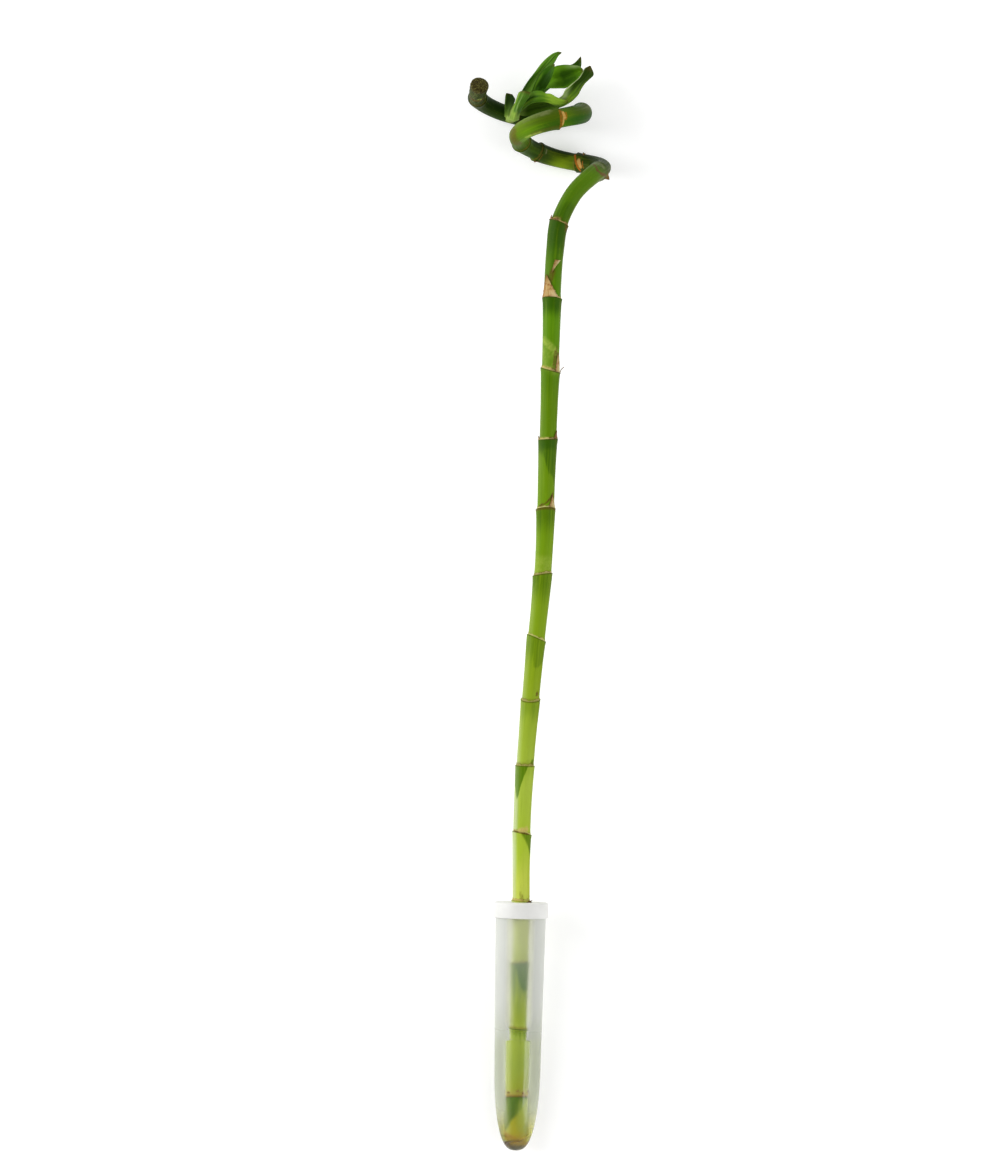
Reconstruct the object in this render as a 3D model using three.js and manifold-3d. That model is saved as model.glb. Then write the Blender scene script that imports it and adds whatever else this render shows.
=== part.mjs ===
// A lucky bamboo: one cane with a coiled top and a leafy shoot, standing in a capped water tube.
// It is laid out in millimetres in the plant's own frame: +Y up the cane, +X across it and +Z towards
// the side that faces up. The straight cane and the tube's axis are at Z = 0 there. The whole plant
// is then tilted until it lies on its side: on the tube near its tip and on two turns of the coil.
import * as THREE from "three";
import { mergeVertices } from "three/addons/utils/BufferGeometryUtils.js";
import Module from "manifold-3d";

const wasm = await Module();
wasm.setup();

// Driving dimensions of the tube and the cap, measured along the tube's axis from its tip
const TUBE_TIP = new THREE.Vector3(-13.2, -301.2, 0);
const CAP_TOP = new THREE.Vector3(-10.2, -164.6, 0);
const TUBE_RIM = 134.2;
const TUBE_WALL = 1.2;
const DOME_LENGTH = 45;
const DOME_RADIUS = 12.7;
const DOME_POWER = 0.36;
const RIM_RADIUS = 13.85;
const CAP_RADIUS = 15;
const CAP_HEIGHT = 8.5;
const CAP_PLATE = 1.5;
const CAP_HOLE = 5.9;
const GEL_LEVEL = 61;
const GEL_HOLE = 6.1;
const GAP = 0.3;
const ROUND_SIDES = 36;

// How the plant lies: its tilt, and where the plant's frame then stands over the surface
const LYING_TILT = THREE.MathUtils.degToRad(5.301);
const LYING_PLACE = new THREE.Vector3(-0.05, -3.61, 37.18);

// Driving dimensions of the cane
const FOOT_ABOVE_TIP = 5.8;
const CANE_SIDES = 14;
const NODE_LEDGE = 0.4;
const STRAIGHT_STEP = 12;
const COIL_STEP = 3.8;

// Lengths of the cane between one node and the next, from its foot to its cut top
const INTERNODES = [
  24.4, 37.1, 36, 34.1, 37.4, 36.9, 36.1, 34.5, 35.1, 36.2, 38.1, 38, 39.7,
  41.7, 47.7, 37, 24, 15, 41, 24, 45, 33.5,
];

// The cane's radius at lengths along it
const CANE_RADII = [
  [0, 4.95], [130, 5.0], [300, 5.1], [450, 5.15], [540, 5.2], [625, 5.35], [662, 5.8],
  [700, 5.45], [730, 5.15], [790, 5],
];

// The straight cane above the cap, then the bend into the coil
const CANE_RISE = [
  [-10.1, -144.2, 0], [-9.2, -111.2, 0], [-7.5, -81, 0], [-5.3, -56.2, 0], [-2.4, -26, 0],
  [0.8, 5.4, 0],
  [2.6, 31.8, 0], [3.8, 67, 0], [4.9, 97.8, 0], [6.1, 135.2, 0], [7.1, 172.1, 0], [8.5, 194.1, 0],
  [10.8, 209.2, 0], [18.5, 224.8, -3], [27.9, 234.9, -11.5],
];

// The coil's outermost points, right and left by turns
const COIL_SIDES = [
  [34.8, 241.1, -35], [-11.6, 258.5, -31], [23.4, 272.1, -36.5], [-34.3, 280.9, -39.5],
];

// Each half turn between two of them: how far it swings up, and how far it leads towards the top
const HALF_TURNS = [
  { swing: -22.11, lead: -2.1 },
  { swing: 17, lead: 1.2 },
  { swing: -19.12, lead: -6 },
];
const HALF_TURN_STEPS = 12;
const CANE_CUT = [[-34.1, 283.5, -33.5], [-33, 287.4, -27.5]];

// Torn remains of leaf sheaths: the node they stand on, their turn round the cane from straight up
// towards +X in degrees, their width round it in degrees, their height and how far the tip stands off
const SHEATH_REMAINS = [
  { node: 12, turn: -12, spread: 84, height: 11.5, tipTurn: -34, lift: 0.5 },
  { node: 12, turn: 14, spread: 28, height: 20, tipTurn: 34, lift: 0.9 },
  { node: 11, turn: 46, spread: 66, height: 11, tipTurn: 22, lift: 0.6 },
  { node: 11, turn: 80, spread: 16, height: 1.4, tipTurn: 86, lift: 1.5 },
  { node: 10, turn: 70, spread: 46, height: 4.6, tipTurn: 80, lift: 0.5 },
  { node: 9, turn: 52, spread: 56, height: 6.6, tipTurn: 38, lift: 0.5 },
  { node: 3, turn: 62, spread: 50, height: 2.2, tipTurn: 84, lift: 1.2 },
  { node: 3, turn: 4, spread: 60, height: 2.6, tipTurn: 2, lift: 0.4 },
];
const REMAIN_THICK = 0.7;
const REMAIN_ROOT = 0.9;

// Root buds round the lowest node
const ROOT_BUDS = { node: 0, count: 7, radius: 0.75, reach: 5.45 };

// The shoot's stem, and its radius at each point
const SHOOT_STEM = [
  [-16.3, 270.5, -54.6], [-15, 272.9, -49.2], [-12.8, 275.8, -46], [-9.8, 278.3, -44.2],
  [-6.2, 280.2, -43.2], [-3.4, 281.4, -42.6],
];
const SHOOT_RADII = [[0, 3.2], [6, 3], [10, 2.6], [14, 2], [18, 1.4], [21, 0.7]];
const SHOOT_SIDES = 10;
const SHOOT_STEPS = 14;

// Leaves: both edges from the base to the tip, the depth of the fold along the midrib, which is
// positive where the fold opens upwards, and the height and number of the waves along the edges
const BLADE_STEPS = 14;
const BLADE_STRIPS = 4;
const BLADE_THICK = 0.75;
const LEAVES = {
  leaf_long: {
    left: [
      [-10.8, 279.7, -42.5], [-9.9, 284, -39], [-6.9, 288.9, -35.5], [-3.2, 293.6, -33],
      [1.2, 299.3, -30.5], [4.2, 302.2, -29.5], [7.1, 304.4, -29.7], [10.2, 305.7, -31],
      [12.2, 305.5, -32],
    ],
    right: [
      [-5.9, 280.2, -42], [-2.6, 284.1, -38.5], [0.1, 288.1, -35.5], [2.3, 292.1, -33],
      [4.8, 295.5, -31.2], [6.9, 298.5, -30.4], [8.7, 300.9, -30.4], [10.2, 303.1, -31],
      [12.3, 304.9, -32],
    ],
    fold: 1.6,
    wave: 0.15,
    waves: 2,
  },
  leaf_inner: {
    left: [
      [-5.2, 278.6, -42], [-4.6, 280, -39], [-2.4, 284.5, -35.2], [0.3, 288.9, -32],
      [2.9, 292.9, -29.8], [5.6, 296.1, -28.4], [8, 298.6, -27.8],
    ],
    right: [
      [-1.6, 280.2, -42.2], [1, 281.4, -39], [3.5, 285.6, -35.5], [5.6, 288.7, -32.7],
      [7, 291.6, -30.8], [8.1, 295.1, -29],
      [8.6, 298.4, -27.8],
    ],
    fold: 0.8,
    wave: 0,
    waves: 1,
  },
  leaf_broad: {
    left: [
      [-5.7, 282.6, -44], [-1.2, 288.6, -42.5], [3.8, 294.6, -40.5], [8.7, 298.1, -39],
      [11.7, 298.8, -38], [15.4, 299, -37.2], [18.8, 298.6, -36.8], [22.1, 298.2, -36.7],
      [24.3, 296.5, -37],
    ],
    right: [
      [-4, 279.3, -44], [0.5, 283.6, -42.5], [4.3, 285.9, -40.5], [8, 285.8, -39],
      [11.7, 285.8, -38],
      [14.7, 285.9, -37.2], [17.4, 287.4, -36.8], [21, 290.5, -36.5], [24.5, 295.1, -37],
    ],
    fold: 2,
    wave: 0.3,
    waves: 2,
  },
  leaf_back: {
    left: [
      [-12.4, 277.6, -48.4], [-5.1, 280.8, -49.9], [1.6, 288.6, -49.7], [9.4, 295.7, -48],
      [15, 298.6, -45.5],
      [19.2, 300.2, -44], [21.3, 302.1, -43.5], [23, 304, -43],
    ],
    right: [
      [-11.4, 274.6, -48.9], [-2.3, 278.5, -50], [5, 285.8, -49.7], [13.3, 291.3, -48],
      [19.4, 294.4, -45.5],
      [23, 297.4, -44], [23.6, 300.9, -43.5], [23.4, 303.7, -43],
    ],
    fold: 1,
    wave: 0.2,
    waves: 2,
  },
  leaf_front: {
    left: [
      [-11.5, 276.4, -43], [-9, 279.8, -39.5], [-5.6, 282.8, -36.5], [-2.5, 284.1, -34],
      [1.2, 284, -32.5], [3.4, 282.8, -32], [6.4, 282.4, -31.8], [9.1, 280.9, -31.8],
      [12.4, 279.5, -32], [15.8, 279, -32.5],
    ],
    right: [
      [-10.5, 272.8, -43.4], [-7.7, 275.3, -39.6], [-4, 277.2, -35.7], [-1, 277.7, -33.5],
      [4.2, 277.6, -32.4], [7.6, 276.4, -32], [10.2, 275.8, -32], [12.1, 276, -32.2],
      [14, 276.6, -32.4], [15.9, 277.8, -32.5],
    ],
    fold: -0.8,
    wave: 0.25,
    waves: 3,
  },
  leaf_sheath: {
    left: [
      [-16.7, 269.3, -48.4], [-15.4, 272.9, -43], [-13.9, 276.9, -38], [-12.5, 280.6, -35.2],
      [-11.3, 283.4, -33.7], [-9.9, 284.1, -33.3],
    ],
    right: [
      [-11.2, 269.2, -48], [-10.6, 272.3, -42], [-9, 275.6, -35], [-7.2, 278.4, -32.4],
      [-5.3, 281.1, -30.8], [-4.9, 283.1, -30.6],
    ],
    fold: -1.4,
    wave: 0.1,
    waves: 1,
  },
  leaf_bud: {
    left: [
      [-19.2, 270.6, -47.2], [-19.2, 275, -45.8], [-19.1, 279.3, -44.8], [-18.7, 282.6, -44.2],
      [-18.3, 283.8, -44],
    ],
    right: [
      [-17.2, 270.9, -47], [-16.1, 274.1, -45.2], [-14.4, 277.3, -44], [-13.3, 280.1, -43.6],
      [-15, 283, -43.6],
    ],
    fold: 0.6,
    wave: 0,
    waves: 1,
  },
  leaf_side: {
    left: [
      [-11, 277.2, -46], [-8.4, 277.5, -46], [-1.2, 278.8, -44.5], [6, 279.4, -42],
      [10.2, 280.3, -39],
      [12.9, 282, -36.2], [14.1, 284.4, -34], [16.6, 286.8, -32.8], [19.1, 288.8, -32],
      [22, 291.3, -31], [23.8, 294.1, -30.3], [25.1, 296.3, -30], [28.1, 297.9, -30],
    ],
    right: [
      [-12, 272, -47.2], [-7.9, 271.1, -47], [-0.6, 272.4, -45.5], [7.1, 274.2, -43],
      [12.7, 275.7, -40.2],
      [16.5, 277.4, -37], [19.3, 279.4, -34.7], [21.8, 282.1, -33.2], [23.4, 285.1, -32.2],
      [25.4, 288, -31.2], [28.1, 290.5, -30.5], [30.2, 292.9, -30], [28.6, 297.5, -30],
    ],
    fold: 1,
    wave: 0.15,
    waves: 3,
  },
};

const MATERIALS = {
  cane: new THREE.MeshStandardMaterial({ color: 0x6f9a26, roughness: 0.45 }),
  shoot: new THREE.MeshStandardMaterial({ color: 0x8fb63c, roughness: 0.5 }),
  leaf: new THREE.MeshStandardMaterial({ color: 0x3f8014, roughness: 0.35 }),
  tube: new THREE.MeshStandardMaterial({ color: 0xdcdfd8, transparent: true, opacity: 0.45 }),
  cap: new THREE.MeshStandardMaterial({ color: 0xebebe8, roughness: 0.4 }),
  gel: new THREE.MeshStandardMaterial({ color: 0xdde6c4, transparent: true, opacity: 0.3 }),
};

const vector = (point) => new THREE.Vector3(...point);

const smoothCurve = (points) =>
  new THREE.CatmullRomCurve3(points.map(vector), false, "centripetal");

// The value of a list of [place, value] pairs at one place
function between(pairs, place) {
  const next = pairs.findIndex(([at]) => at >= place);
  if (next <= 0) return pairs[next === 0 ? 0 : pairs.length - 1][1];
  const [from, low] = pairs[next - 1];
  const [to, high] = pairs[next];
  return THREE.MathUtils.mapLinear(place, from, to, low, high);
}

// Booleans between closed meshes
function toSolid(geometry) {
  const bare = geometry.clone();
  bare.deleteAttribute("normal");
  bare.deleteAttribute("uv");
  const merged = mergeVertices(bare, 1e-4);
  const vertProperties = merged.attributes.position.array;
  const triVerts = new Uint32Array(merged.index.array);
  return new wasm.Manifold(new wasm.Mesh({ numProp: 3, vertProperties, triVerts }));
}

function toGeometry(solid) {
  const mesh = solid.getMesh();
  const geometry = new THREE.BufferGeometry();
  geometry.setAttribute("position", new THREE.BufferAttribute(mesh.vertProperties, 3));
  geometry.setIndex(new THREE.BufferAttribute(mesh.triVerts, 1));
  geometry.computeVertexNormals();
  return geometry;
}

function join(...geometries) {
  return toGeometry(geometries.map(toSolid).reduce((sum, next) => sum.add(next)));
}

function cut(...geometries) {
  return toGeometry(geometries.map(toSolid).reduce((rest, tool) => rest.subtract(tool)));
}

// Closed mesh from a grid of rings, each with the same number of points, and its two ends
function skin(rings) {
  const count = rings[0].length;
  const points = rings.flat();
  const faces = [];
  for (let i = 0; i + 1 < rings.length; i += 1) {
    for (let j = 0; j < count; j += 1) {
      const a = i * count + j;
      const b = i * count + ((j + 1) % count);
      faces.push(a, b, b + count, a, b + count, a + count);
    }
  }
  const middle = (ring) => ring.reduce((sum, p) => sum.add(p), new THREE.Vector3()).divideScalar(count);
  const foot = points.push(middle(rings[0])) - 1;
  const top = points.push(middle(rings[rings.length - 1])) - 1;
  const last = (rings.length - 1) * count;
  for (let j = 0; j < count; j += 1) {
    const next = (j + 1) % count;
    faces.push(foot, next, j, top, last + j, last + next);
  }
  const geometry = new THREE.BufferGeometry().setFromPoints(points);
  geometry.setIndex(faces);
  geometry.computeVertexNormals();
  return geometry;
}

// Frames along a curve that turn with it without twisting. The first one's up is +Z.
function framesAlong(curve, places) {
  const length = curve.getLength();
  let up = new THREE.Vector3(0, 0, 1);
  return places.map((place) => {
    const share = THREE.MathUtils.clamp(place / length, 0, 1);
    const centre = curve.getPointAt(share);
    const ahead = curve.getTangentAt(share);
    up = up.clone().addScaledVector(ahead, -up.dot(ahead)).normalize();
    const side = new THREE.Vector3().crossVectors(ahead, up);
    return { place, centre, ahead, up, side };
  });
}

// A point at a turn round a frame, from its up towards its side, in degrees
function around(frame, turn, radius) {
  const angle = THREE.MathUtils.degToRad(turn);
  return frame.centre.clone()
    .addScaledVector(frame.up, radius * Math.cos(angle))
    .addScaledVector(frame.side, radius * Math.sin(angle));
}

const ringAt = (frame, radius, sides) =>
  Array.from({ length: sides }, (_, j) => around(frame, (360 * j) / sides, radius));

// Tube and cap

const TUBE_AXIS = CAP_TOP.clone().sub(TUBE_TIP).normalize();
const CAP_END = CAP_TOP.distanceTo(TUBE_TIP);
const onTubeAxis = (height) => TUBE_TIP.clone().addScaledVector(TUBE_AXIS, height);

// Radius of the round-bottomed, slightly conical form, for the outside or for a surface inside it
function tubeRadius(height, inset) {
  const full = DOME_RADIUS - inset;
  if (height < DOME_LENGTH) {
    const share = Math.max(0, (height - inset) / (DOME_LENGTH - inset));
    return full * (1 - (1 - share) ** 2) ** DOME_POWER;
  }
  return full + ((RIM_RADIUS - DOME_RADIUS) * (height - DOME_LENGTH)) / (TUBE_RIM - DOME_LENGTH);
}

// Heights from one level to another, closer together near the round tip
function tubeHeights(from, to, count) {
  return Array.from({ length: count + 1 }, (_, i) => from + (to - from) * (i / count) ** 2.4);
}

function turned(profile) {
  return new THREE.LatheGeometry(profile.map((corner) => new THREE.Vector2(...corner)), ROUND_SIDES);
}

function makeTube() {
  const outside = tubeHeights(0, TUBE_RIM, 15).map((height) => [tubeRadius(height, 0), height]);
  const inside = tubeHeights(TUBE_WALL, TUBE_RIM, 15)
    .map((height) => [tubeRadius(height, TUBE_WALL), height]);
  return turned([...outside, ...inside.reverse()]);
}

function makeCap() {
  const foot = CAP_END - CAP_HEIGHT;
  const skirt = RIM_RADIUS + GAP;
  const profile = [
    [skirt, foot],
    [CAP_RADIUS - 0.5, foot],
    [CAP_RADIUS - 0.2, foot + 0.4],
    [CAP_RADIUS, CAP_END - 0.7],
    [CAP_RADIUS - 0.6, CAP_END],
    [CAP_HOLE, CAP_END],
    [CAP_HOLE, CAP_END - CAP_PLATE],
    [skirt, CAP_END - CAP_PLATE],
    [skirt, foot],
  ];
  return turned(profile);
}

function makeGel() {
  const inset = TUBE_WALL + 1.5 * GAP;
  const outside = tubeHeights(inset, GEL_LEVEL, 9).map((height) => [tubeRadius(height, inset), height]);
  const bed = FOOT_ABOVE_TIP - GAP;
  const hole = [
    [GEL_HOLE + 1.2, GEL_LEVEL - 0.4],
    [GEL_HOLE, GEL_LEVEL + 0.2],
    [GEL_HOLE, bed + 5.6],
    [5.4, bed + 2.6],
    [4.1, bed + 0.8],
    [2.3, bed],
    [0, bed],
  ];
  outside[outside.length - 1][1] += 0.2;
  return turned([...outside, ...hole]);
}

// Cane

function makeCanePath() {
  const inTube = [FOOT_ABOVE_TIP, 31, 55, 80, 105, CAP_END].map(onTubeAxis);
  const coil = [];
  HALF_TURNS.forEach(({ swing, lead }, turn) => {
    const from = vector(COIL_SIDES[turn]);
    const to = vector(COIL_SIDES[turn + 1]);
    for (let i = turn ? 1 : 0; i <= HALF_TURN_STEPS; i += 1) {
      const angle = (Math.PI * i) / HALF_TURN_STEPS;
      const point = from.clone().lerp(to, i / HALF_TURN_STEPS);
      point.x = (from.x + to.x) / 2 + ((from.x - to.x) / 2) * Math.cos(angle);
      point.y += lead * Math.sin(angle) ** 2;
      point.z += swing * Math.sin(angle);
      coil.push(point);
    }
  });
  const path = [...inTube, ...CANE_RISE.map(vector), ...coil, ...CANE_CUT.map(vector)];
  const curve = new THREE.CatmullRomCurve3(path, false, "centripetal");
  curve.arcLengthDivisions = 3000;
  return curve;
}

const CANE_PATH = makeCanePath();
const CANE_LENGTH = CANE_PATH.getLength();
const NODES = [];
for (const length of INTERNODES) NODES.push((NODES.at(-1) ?? 0) + length);
const COIL_START = NODES[13];

// The cane widens towards each node and starts again narrower above it
function internodeShare(share) {
  const collar = THREE.MathUtils.smoothstep(share, 0.88, 1);
  return 0.92 + 0.1 * Math.sin((Math.PI / 2) * share) + 0.05 * collar;
}

function caneRings() {
  const rings = [];
  const ends = [...NODES, CANE_LENGTH];
  ends.forEach((end, i) => {
    const start = i ? ends[i - 1] + NODE_LEDGE : 0;
    const shares = [0, 0.05, 0.3, 0.6, 0.88, 0.95, 1];
    const step = start > COIL_START - 10 ? COIL_STEP : STRAIGHT_STEP;
    shares.forEach((share, k) => {
      if (k) {
        const stretch = (share - shares[k - 1]) * (end - start);
        const parts = Math.ceil(stretch / step);
        for (let part = 1; part < parts; part += 1) {
          const at = shares[k - 1] + ((share - shares[k - 1]) * part) / parts;
          rings.push([start + at * (end - start), internodeShare(at)]);
        }
      }
      rings.push([start + share * (end - start), internodeShare(share)]);
    });
  });
  return rings;
}

// The foot is rounded off, and the cut top has a worn rim
function endShare(place) {
  const foot = between([[0, 0.34], [0.7, 0.66], [1.8, 0.85], [3.4, 0.96], [5, 1]], place);
  const top = between([[0, 0.84], [0.5, 0.95], [1.2, 1]], CANE_LENGTH - place);
  return Math.min(foot, top);
}

function caneFrames(extra) {
  const foot = [0.7, 1.8, 3.4, 5].map((place) => [place, 0.92]);
  const top = [0.5, 1.2].map((inset) => [CANE_LENGTH - inset, internodeShare(0.9)]);
  const rings = [...caneRings(), ...foot, ...top].sort((a, b) => a[0] - b[0]);
  const frames = framesAlong(CANE_PATH, rings.map(([place]) => place));
  return frames.map((frame, i) => ({
    ...frame,
    radius: between(CANE_RADII, frame.place) * rings[i][1] * endShare(frame.place) + extra,
  }));
}

const caneBody = (extra) =>
  skin(caneFrames(extra).map((frame) => ringAt(frame, frame.radius, CANE_SIDES)));

function frameAt(place) {
  const steps = Math.ceil(place / 5);
  const places = Array.from({ length: steps + 1 }, (_, i) => (place * i) / steps);
  return framesAlong(CANE_PATH, places)[steps];
}

const radiusAbove = (node, height) =>
  between(CANE_RADII, NODES[node]) * internodeShare(height / INTERNODES[node + 1]);

// One torn scale of sheath, a pointed shell on the cane that starts inside the node's ledge
function makeRemain({ node, turn, spread, height, tipTurn, lift }) {
  const rings = [0, 0.35, 0.7, 1].map((share) => {
    const frame = frameAt(NODES[node] + height * share);
    const middle = THREE.MathUtils.lerp(turn, tipTurn, share);
    const half = (spread / 2) * (1 - 0.93 * share ** 1.3);
    const inner = radiusAbove(node, height * share) - REMAIN_ROOT + lift * share ** 2 + 0.75 * share;
    const turns = [-1, -0.5, 0, 0.5, 1].map((part) => middle + part * half);
    const bottom = turns.map((at) => around(frame, at, inner));
    const outer = inner + REMAIN_THICK + REMAIN_ROOT * (1 - share);
    const top = turns.map((at) => around(frame, at, outer)).reverse();
    return [...bottom, ...top].reverse();
  });
  return skin(rings);
}

function makeRootBuds() {
  const { node, count, radius, reach } = ROOT_BUDS;
  return Array.from({ length: count }, (_, i) => {
    const frame = frameAt(NODES[node] + 1.6 + 1.4 * (i % 2));
    const bud = new THREE.ConeGeometry(radius, 2, 6);
    const tip = around(frame, (360 * i) / count + 20, reach);
    const out = tip.clone().sub(frame.centre).normalize();
    bud.applyQuaternion(new THREE.Quaternion().setFromUnitVectors(new THREE.Vector3(0, 1, 0), out));
    bud.translate(...tip.addScaledVector(out, -1).toArray());
    return bud;
  });
}

// Shoot

function stemSkin(points, radii, sides, steps, extra) {
  const curve = smoothCurve(points);
  const length = curve.getLength();
  const places = Array.from({ length: steps + 1 }, (_, i) => (length * i) / steps);
  const frames = framesAlong(curve, places);
  return skin(frames.map((frame) => ringAt(frame, between(radii, frame.place) + extra, sides)));
}

const shootBody = (extra) => stemSkin(SHOOT_STEM, SHOOT_RADII, SHOOT_SIDES, SHOOT_STEPS, extra);

// A blade between two edges, folded along its midrib and waved along its edges
function makeBlade({ left, right, fold, wave, waves }) {
  const edges = [left, right].map(smoothCurve);
  const shares = Array.from({ length: BLADE_STEPS + 1 }, (_, i) => i / BLADE_STEPS);
  const pairs = shares.map((share) => edges.map((edge) => edge.getPointAt(share)));
  const middles = pairs.map(([l, r]) => l.clone().lerp(r, 0.5));
  const rings = pairs.map(([l, r], i) => {
    const share = i / BLADE_STEPS;
    const along = middles[Math.min(i + 1, BLADE_STEPS)].clone().sub(middles[Math.max(i - 1, 0)]);
    const normal = r.clone().sub(l).cross(along).normalize();
    const depth = fold * Math.min(1, l.distanceTo(r) / 4);
    const lower = [];
    const upper = [];
    for (let j = 0; j <= BLADE_STRIPS; j += 1) {
      const across = j / BLADE_STRIPS;
      const out = Math.abs(2 * across - 1);
      const swell = wave * out ** 2 * Math.sin(2 * Math.PI * waves * share + 2 * across);
      const point = l.clone().lerp(r, across).addScaledVector(normal, swell - depth * (1 - out));
      lower.push(point.clone().addScaledVector(normal, -BLADE_THICK / 2));
      upper.push(point.clone().addScaledVector(normal, BLADE_THICK / 2));
    }
    return [...lower, ...upper.reverse()].reverse();
  });
  return skin(rings);
}

// Assembly

const plant = new THREE.Group();
plant.rotation.x = LYING_TILT;
plant.position.copy(LYING_PLACE);

function addMesh(group, name, geometry, material) {
  const mesh = new THREE.Mesh(geometry, material);
  mesh.name = name;
  group.add(mesh);
}

const holder = new THREE.Group();
holder.position.copy(TUBE_TIP);
holder.quaternion.setFromUnitVectors(new THREE.Vector3(0, 1, 0), TUBE_AXIS);
addMesh(holder, "tube", makeTube(), MATERIALS.tube);
addMesh(holder, "cap", makeCap(), MATERIALS.cap);
addMesh(holder, "gel", makeGel(), MATERIALS.gel);
plant.add(holder);

const cane = join(caneBody(0), ...SHEATH_REMAINS.map(makeRemain), ...makeRootBuds());
addMesh(plant, "cane", cane, MATERIALS.cane);
addMesh(plant, "shoot", cut(shootBody(0), caneBody(GAP)), MATERIALS.shoot);
for (const [name, leaf] of Object.entries(LEAVES)) {
  addMesh(plant, name, cut(makeBlade(leaf), shootBody(GAP), caneBody(GAP)), MATERIALS.leaf);
}

const part = new THREE.Group();
part.add(plant);
export default part;
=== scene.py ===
import math

import bpy
import numpy as np
from mathutils import Matrix, Vector


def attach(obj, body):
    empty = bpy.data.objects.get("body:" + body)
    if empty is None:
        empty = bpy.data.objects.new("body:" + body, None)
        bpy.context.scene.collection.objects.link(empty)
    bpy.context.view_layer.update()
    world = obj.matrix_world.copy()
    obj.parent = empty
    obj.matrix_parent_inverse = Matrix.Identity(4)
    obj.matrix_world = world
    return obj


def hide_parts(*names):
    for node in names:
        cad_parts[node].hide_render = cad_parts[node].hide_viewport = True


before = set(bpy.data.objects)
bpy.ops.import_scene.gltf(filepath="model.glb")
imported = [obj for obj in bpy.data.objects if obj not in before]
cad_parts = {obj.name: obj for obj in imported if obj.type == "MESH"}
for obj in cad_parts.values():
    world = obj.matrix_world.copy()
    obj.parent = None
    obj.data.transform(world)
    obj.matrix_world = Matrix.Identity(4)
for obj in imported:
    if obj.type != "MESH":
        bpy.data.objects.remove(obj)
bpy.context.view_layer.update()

# Shapes are laid out in millimetres in the plant's own frame, as in the CAD source: +Y up the cane,
# +X across it, +Z towards the side that faces up. The lying place turns that into the row's frame.
MM = 0.001
LYING_TILT = math.radians(5.301)
LYING_PLACE = np.array((-0.05, -3.61, 37.18))
LYING_TURN = np.array(Matrix.Rotation(LYING_TILT, 3, "X"))

TUBE_TIP = np.array((-13.2, -301.2, 0.0))
CAP_TOP = np.array((-10.2, -164.6, 0.0))
CAP_END = np.linalg.norm(CAP_TOP - TUBE_TIP)
TUBE_AXIS = (CAP_TOP - TUBE_TIP) / CAP_END
FACING_UP = np.array((0.0, 0.0, 1.0))
TUBE_RIM = 134.2
TUBE_WALL = 1.2
DOME_LENGTH = 45
DOME_RADIUS = 12.7
DOME_POWER = 0.36
RIM_RADIUS = 13.85
CAP_RADIUS = 15
CAP_HEIGHT = 8.5
CAP_PLATE = 1.5
CAP_CORNER = 1.1
CAP_PLAY = 0.3
CAP_HOLE = 5.9
GEL_LEVEL = 61
FOOT_ABOVE_TIP = 5.8
HEIGHTS_IN_TUBE = (FOOT_ABOVE_TIP, 31, 55, 80, 105, CAP_END)

INTERNODES = (
    24.4, 37.1, 36, 34.1, 37.4, 36.9, 36.1, 34.5, 35.1, 36.2, 38.1, 38, 39.7,
    41.7, 47.7, 37, 24, 15, 41, 24, 45, 33.5,
)
NODES = np.cumsum(INTERNODES)
CANE_RADII = (
    (0, 4.95), (130, 5.0), (300, 5.1), (450, 5.15), (540, 5.2), (625, 5.35), (662, 5.8), (700, 5.45),
    (730, 5.15), (790, 5),
)
CANE_RISE = (
    (-10.1, -144.2, 0), (-9.2, -111.2, 0), (-7.5, -81, 0), (-5.3, -56.2, 0), (-2.4, -26, 0),
    (0.8, 5.4, 0), (2.6, 31.8, 0), (3.8, 67, 0), (4.9, 97.8, 0), (6.1, 135.2, 0), (7.1, 172.1, 0),
    (8.5, 194.1, 0), (10.8, 209.2, 0), (18.5, 224.8, -3), (27.9, 234.9, -11.5),
)
COIL_SIDES = ((34.8, 241.1, -35), (-11.6, 258.5, -31), (23.4, 272.1, -36.5), (-34.3, 280.9, -39.5))
HALF_TURNS = ((-22.11, -2.1), (17, 1.2), (-19.12, -6))
HALF_TURN_STEPS = 12
CANE_CUT = ((-34.1, 283.5, -33.5), (-33, 287.4, -27.5))

SHOOT_STEM = (
    (-16.3, 270.5, -54.6), (-15, 272.9, -49.2), (-12.8, 275.8, -46), (-9.8, 278.3, -44.2),
    (-6.2, 280.2, -43.2), (-3.4, 281.4, -42.6),
)
SHOOT_RADII = ((0, 3.2), (6, 3), (10, 2.6), (14, 2), (18, 1.4), (21, 0.7))


def laid(points):
    """Points of the plant's own frame in millimetres, as metres in the row's frame."""
    return (np.asarray(points, float) @ LYING_TURN.T + LYING_PLACE) * MM


def srgb(red, green, blue):
    """A colour given as 0 to 255 on screen, as linear values with alpha."""
    channels = []
    for value in (red, green, blue):
        share = value / 255
        channels.append(share / 12.92 if share <= 0.04045 else ((share + 0.055) / 1.055) ** 2.4)
    return (*channels, 1)


# What a surface that faces up must reflect for a colour to be seen as it is given
SEEN_SHARE = 0.87


def paint(red, green, blue):
    """The colour of a surface that shall look like this one on screen, under the scene's lights."""
    return (*(value * SEEN_SHARE for value in srgb(red, green, blue)[:3]), 1)


def smoothstep(value, low, high):
    share = np.clip((np.asarray(value, float) - low) / (high - low), 0, 1)
    return share * share * (3 - 2 * share)


def all_round(count):
    return np.linspace(0, 2 * math.pi, count, endpoint=False)


def unit(vectors):
    return vectors / np.linalg.norm(vectors, axis=-1, keepdims=True)


def spokes(turns, up, side):
    """Directions square to a stem, at turns round it from its up towards its side."""
    return np.cos(turns)[..., None] * up + np.sin(turns)[..., None] * side


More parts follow.
